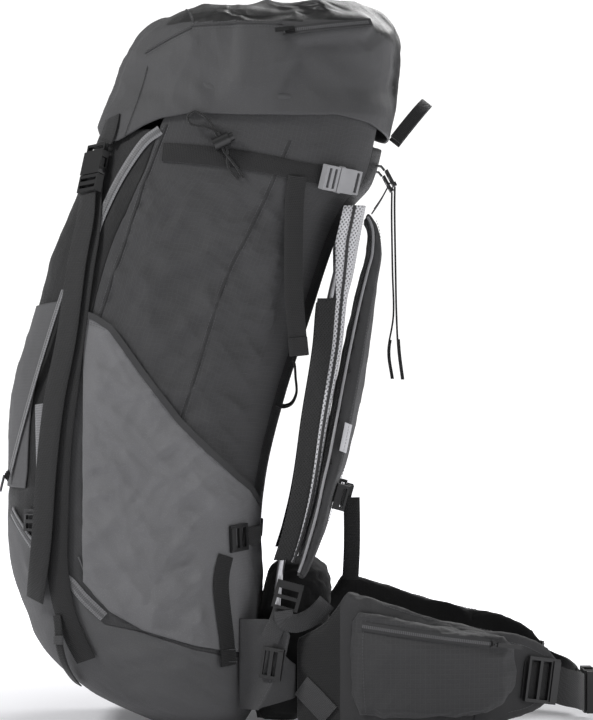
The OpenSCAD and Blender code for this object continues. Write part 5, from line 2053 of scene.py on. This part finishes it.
    def _webbing(self) -> None:
        """Belt webbing and the stabilisers' tails."""
        a, _ = self.on_fin([358, 376], [57, 54], 0.5)
        b, _ = self.on_fin([393], [50], 0.7)
        p = bend(np.vstack([a, b, at([(412, -93.5, 44), (425, -78, 40), (432, -60, 36), (434.5, -42, 34),
                (434.5, -24, 33), (434.5, -8, 33)])]), 6)
        t = unit(np.gradient(p, axis=0))
        n = unit(np.cross(t, np.array([0, 0, 1.0])))
        x = np.array([128, 134, 142, 150, 158.0])
        q, m = self.on_fin(x, 52 - (x - 126), 0.9)
        for side in BOTH:
            body = f"hip_fin_{side.word}"
            strap = Bundle(f"belt_strap_{side.word}")
            strap.strap(p, n, 0.040, sides=(side,))
            strap.strap(p[22:41] - n[22:41] * 0.0017, n[22:41], 0.040, sides=(side,))
            strap.strap(bend(q, 5), unit(bend(m, 5)), 0.025, slot=1, sides=(side,))
            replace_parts(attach(strap.make(self.paint.webbing, self.paint.grey_webbing), body),
                    f"belt_webbing_{side.word}")

    def _stitches(self, fin: Soft) -> None:
        """Quilting lines on the fins.

        Args:
            fin: The finished right fin.
        """
        ground = fin.ground()
        lines = [((345, 98), (365, 92), (388, 80)), ((345, 22), (368, 27), (388, 38)),
                ((210, 139), (250, 126), (290, 117), (330, 109))]
        for side in BOTH:
            sew = Bundle(f"fin_stitches_{side.word}")
            for line in lines:
                p, n = lay(ground, line, 0.0003, 8)
                if len(p) > 4:
                    sew.dashes(p, n, 0.0038, (0.0013, 0.0003, 0.0002), sides=(side,))
            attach(sew.make(self.paint.thread, smooth=False), f"hip_fin_{side.word}")


# ------------------------------------------------------------------ lid
@dataclass
class Lid:
    """Floating lid with its zip, tabs, buckle tails and haul loop."""

    paint: Finishes
    edge: Table = field(default_factory=lambda: Table([
        (-101, 657), (-88, 641), (-67, 634), (-45, 650), (-30, 658), (1, 663), (45, 661), (118, 661), (158, 663),
        (193, 656), (215, 645), (240, 642)]))
    rings: Table = field(default_factory=lambda: Table([
        (676, -95, 229, 141), (694, -85, 228, 140), (720, -79, 231, 138), (743, -72, 237, 134),
        (762, -58, 234, 129), (774, -42, 226, 122),
        (784, -26, 206, 112), (791, -8, 160, 95), (797, 20, 120, 62), (800, 48, 88, 26)]))
    lining: Table = field(default_factory=lambda: Table([(676, -89, 223, 136), (700, -78, 221, 130),
            (705, -60, 205, 112), (706, 0, 150, 40)]))

    def build(self) -> None:
        """Makes the lid."""
        shell = self._shell()
        self._seams(shell)
        self._zip()
        self._straps()
        LOG.info("lid: shell, seams, zip, tabs, tails and haul loop")

    @staticmethod
    def calm(p: np.ndarray) -> np.ndarray:
        """How free the cloth is: 0 where the lid carries a zip, tab or loop, 1 elsewhere.

        Args:
            p: Points in metres.

        Returns:
            The values.
        """
        zip_near = np.clip(np.hypot(np.maximum(np.abs(p[:, 0] - 0.149) - 0.042, 0),
                p[:, 2] - (0.752 + (p[:, 0] - 0.112) * 0.135)) / 0.010 - 0.9, 0, 1)
        zip_near = np.where(np.abs(p[:, 1]) > 0.08, zip_near, 1)
        tab = np.clip(np.hypot(np.maximum(np.abs(p[:, 0] + 0.078) - 0.016, 0),
                np.maximum(np.abs(p[:, 2] - 0.648) - 0.016, 0)) / 0.012, 0, 1)
        loop = np.clip((0.224 - p[:, 0]) / 0.01 + (p[:, 2] - 0.655) / 0.01, 0, 1)
        foot = np.clip((p[:, 2] - 0.662) / 0.03, 0.10, 1)
        return zip_near * tab * loop * foot

    def _even(self, cols: int = 168) -> bpy.types.Object:
        """Even mesh over the lid's form, outside and inside.

        Args:
            cols: Number of columns.

        Returns:
            The piece.
        """
        a = np.linspace(0, 360, cols, endpoint=False)
        c, s = turn(np.cos(np.radians(a)), 2 / 3), turn(np.sin(np.radians(a)), 2 / 3)

        def ring(z: float, f: float, b: float, w: float, k: float = 1.0) -> np.ndarray:
            """Ring of the lid, k being its share of the full size.

            Args:
                z: Drawn heights in millimetres.
                f: Front end of the ring.
                b: Back end of the ring.
                w: Width.
                k: Column, or share of the full size.

            Returns:
                The values.
            """
            return at(np.stack([(f + b) / 2 + (b - f) / 2 * c * k, w * s * k, np.full(cols, z)], -1))

        def foot(off: float) -> np.ndarray:
            """Lower edge of the lid, off millimetres from the sack.

            Args:
                off: Height over the form.

            Returns:
                The values.
            """
            x = SACK.point(a, np.full(cols, 0.99))[:, 0] / MM
            return SACK.skin(a, self.edge.read(x) * MM / SACK.HEIGHT, np.full(cols, off * MM))

        heights = np.concatenate([np.linspace(676, 774, 18), np.linspace(777, 800, 12)])
        outer = [ring(z, *(float(self.rings.smooth(z, k)) for k in (1, 2, 3))) for z in heights]
        outer += [ring(800 + 1.2 * (1 - k), 48, 88, 26, k) for k in (0.6, 0.25)]
        inner = [ring(z, *(float(self.lining.read(z, k)) for k in (1, 2, 3))) for z in (676, 681, 686, 692, 700, 705)]
        inner += [ring(705.5, -40, 186, 90), ring(706, -5, 152, 50), ring(706, 40, 105, 12)]
        low = [foot(6) + (outer[0] - foot(6)) * f for f in np.linspace(0, 1, 8)[:-1]]
        deep = [foot(2.6) + (inner[0] - foot(2.6)) * f for f in np.linspace(0, 1, 8)[:-1]]
        rings = inner[::-1] + deep[::-1] + [(foot(2.6) + foot(6)) / 2] + low + outer
        verts = np.vstack(rings)
        n = len(rings)
        faces = [[i * cols + j, i * cols + (j + 1) % cols, (i + 1) * cols + (j + 1) % cols,
                (i + 1) * cols + j] for i in range(n - 1) for j in range(cols)]
        faces += [list(range(cols))[::-1], [(n - 1) * cols + j for j in range(cols)]]
        return mesh_object("lid_cloth", verts, faces)

    def _shell(self) -> Soft:
        """Puffed cloth of the lid."""
        shell = Soft("lid_shell", "lid_cloth", cloth=self._even()).puff(0.008, 4.0, 0.07, free=self.calm)
        shell.crease(Creases(71, waves=18, short=0.03, long=0.14), 0.0070, self.calm)
        top = lambda c, n: ((c[:, 2] > 0.764 - 0.02 * np.clip((c[:, 0] - 0.19) / 0.04, 0, 1))
                & (c[:, 0] > -0.004 - (0.8 - c[:, 2]) * 0.5)) | ((c[:, 0] > 0.226) & (c[:, 2] > 0.66))
        shell.close(self.paint.lid_cloth, self.paint.lid_top, pick=top)
        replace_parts(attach(shell.obj, "lid"), "lid_shell")
        return shell

    def _seams(self, shell: Soft) -> None:
        """Seams laid on the lid's cloth.

        Args:
            shell: The lid's finished cloth.
        """
        ground = shell.ground()
        sew = Bundle("lid_stitches")
        lines = (((-45, 732), (-20, 745), (6, 757)), ((6, 759), (60, 761), (104, 760)),
                ((-42, 716), (-52, 680), (-66, 640)), ((8, 764), (3, 776), (-4, 787)))
        for k, line in enumerate(lines):
            p, n = lay(ground, line, 0.0002, 10)
            if len(p) < 4:
                continue
            for side in BOTH:
                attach(tube_curve(f"lid_seam_{side.word}_{k}", side.of(p), 0.0010, self.paint.lid_cloth), "lid")
            for shift in (-3.0, 3.0):
                q, m = lay(ground, [(x, z + shift) for x, z in line], 0.0003, 10)
                if len(q) > 4:
                    sew.dashes(q, m, 0.0036, STITCH, sides=BOTH)
        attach(sew.make(self.paint.thread, smooth=False), "lid")

    def _zip(self) -> None:
        """Lid pocket's zip, kept in the part's own place."""
        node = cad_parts["lid_zip"]
        co = np.array([v.co for v in node.data.vertices])
        x = np.linspace(co[:, 0].min() + 0.001, co[:, 0].max() - 0.001, 30)
        tree = BVHTree.FromObject(node, bpy.context.evaluated_depsgraph_get())
        pts, look = [], []
        for xx in x:
            near = co[np.abs(co[:, 0] - xx) < 0.012]
            z = float((near[:, 2].min() + near[:, 2].max()) / 2)
            hit, normal, _, _ = tree.ray_cast(Vector((xx, -0.5, z)), Vector((0, 1, 0)))
            if hit is not None:
                pts.append(np.array(hit))
                look.append(np.array(normal))
        pts, look = np.array(pts), np.array(look)
        if len(pts) > 6:
            z = np.polyval(np.polyfit(pts[:, 0], pts[:, 2], 2), pts[:, 0])
            pts[:, 2] = z
            teeth = Bundle("lid_zip_teeth")
            teeth.dashes(pts, look, 0.0021, (0.0007, 0.0018, 0.0003), lift=0.0004)
            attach(teeth.make(self.paint.teeth, smooth=False), "lid")
        finish_node("lid_zip", self.paint.pad_cloth)

    def _straps(self) -> None:
        """Tabs, hanging tails and the haul loop."""
        web = self.paint.webbing
        tab = Bundle("lid_tab_straps")
        r = bend(((-82, 632.5), (-79, 640), (-76, 650), (-74, 660)), 6)
        tab.strap(SACK.side(r, 6.8), SACK.side_normal(r), 0.025, sides=BOTH)
        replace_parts(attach(tab.make(web), "lid"), "lid_sockets")
        hard_copy("lid_sockets", "lid_socket_shells", lambda c: c[2] < 0.632, self.paint.black_plastic, "lid")
        r = bend(((-98.6, 575.4, 9.5), (-103, 545, 8.5), (-112, 500, 8), (-123, 422, 8), (-136, 355, 8),
                (-143, 289, 8.5), (-148, 210, 9.5), (-154, 145, 10)), 6)
        for side in BOTH:
            tail = Bundle(f"lid_tail_strap_{side.word}")
            p, n = SACK.side(r[:, :2], r[:, 2]), SACK.side_normal(r[:, :2])
            tail.strap(p, n, 0.025, sides=(side,))
            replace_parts(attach(tail.make(web), f"lid_plug_{side.word}"), f"lid_tail_{side.word}")
            top = SACK.side([(119, 596)], 4.8)
            q = bend(np.vstack([top, at([(117, -138.6, 570), (116, -138.8, 530), (116, -138.4, 480),
                    (119, -138.2, 435), (122, -138.2, 404)])]), 6)
            hang = Bundle(f"side_tail_strap_{side.word}")
            hang.strap(q, facing(q, (0, -1, 0)), 0.020, sides=(side,))
            hang.strap(q[26:] + at([(0, -1.65, 0)]), facing(q[26:], (0, -1, 0)), 0.021, sides=(side,))
            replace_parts(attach(hang.make(web), f"side_plug_{side.word}"), f"side_tail_{side.word}")
        p = bend(at([(228.6, -30, 643), (242, -28, 660), (256, -20, 677), (265, 0, 687), (256, 20, 677),
                (242, 28, 660), (228.6, 30, 643)]), 6)
        t = unit(np.gradient(p, axis=0))
        loop = Bundle("haul_loop_strap")
        loop.strap(p, unit(np.cross(t, unit(np.array([0.79, 0, -0.61])))), 0.014, 0.0024)
        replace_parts(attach(loop.make(web), "haul_loop"), "haul_loop")


@dataclass
class Hardware:
    """Moulded buckles, locks and sliders, kept as the part has them."""

    paint: Finishes
    black: Sequence[str] = ("ladder_locks", "cord_lock", "cord_lock_button", "lid_plug_right", "lid_plug_left",
            "sternum_slider_right",
                            "sternum_slider_left", "sternum_socket", "sternum_plug", "belt_lock_right",
                            "belt_lock_left", "belt_socket",
                            "belt_plug", "lid_zip_slider", "belt_zip_slider_right", "belt_zip_slider_left",
                            "front_zip_slider_right",
                            "front_zip_slider_left")
    grey: Sequence[str] = ("compression_sockets", "side_plug_right", "side_plug_left")

    def build(self) -> None:
        """Finishes the hard parts."""
        for node in self.black:
            finish_node(node, self.paint.black_plastic)
        for node in self.grey:
            finish_node(node, self.paint.grey_plastic)
        LOG.info("hardware: %d moulded nodes", len(self.black) + len(self.grey))


def main() -> None:
    """Makes the studio and every sub-assembly."""
    logging.basicConfig(level=logging.INFO, format="%(name)s: %(message)s")
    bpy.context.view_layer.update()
    paint = Finishes()
    Studio().build()
    Cords(paint).build()
    for part in (Sack(paint), SackStraps(paint), Back(paint), Harness(paint), HipBelt(paint), Lid(paint),
            Hardware(paint)):
        part.build()


if __name__ == "__main__":
    main()
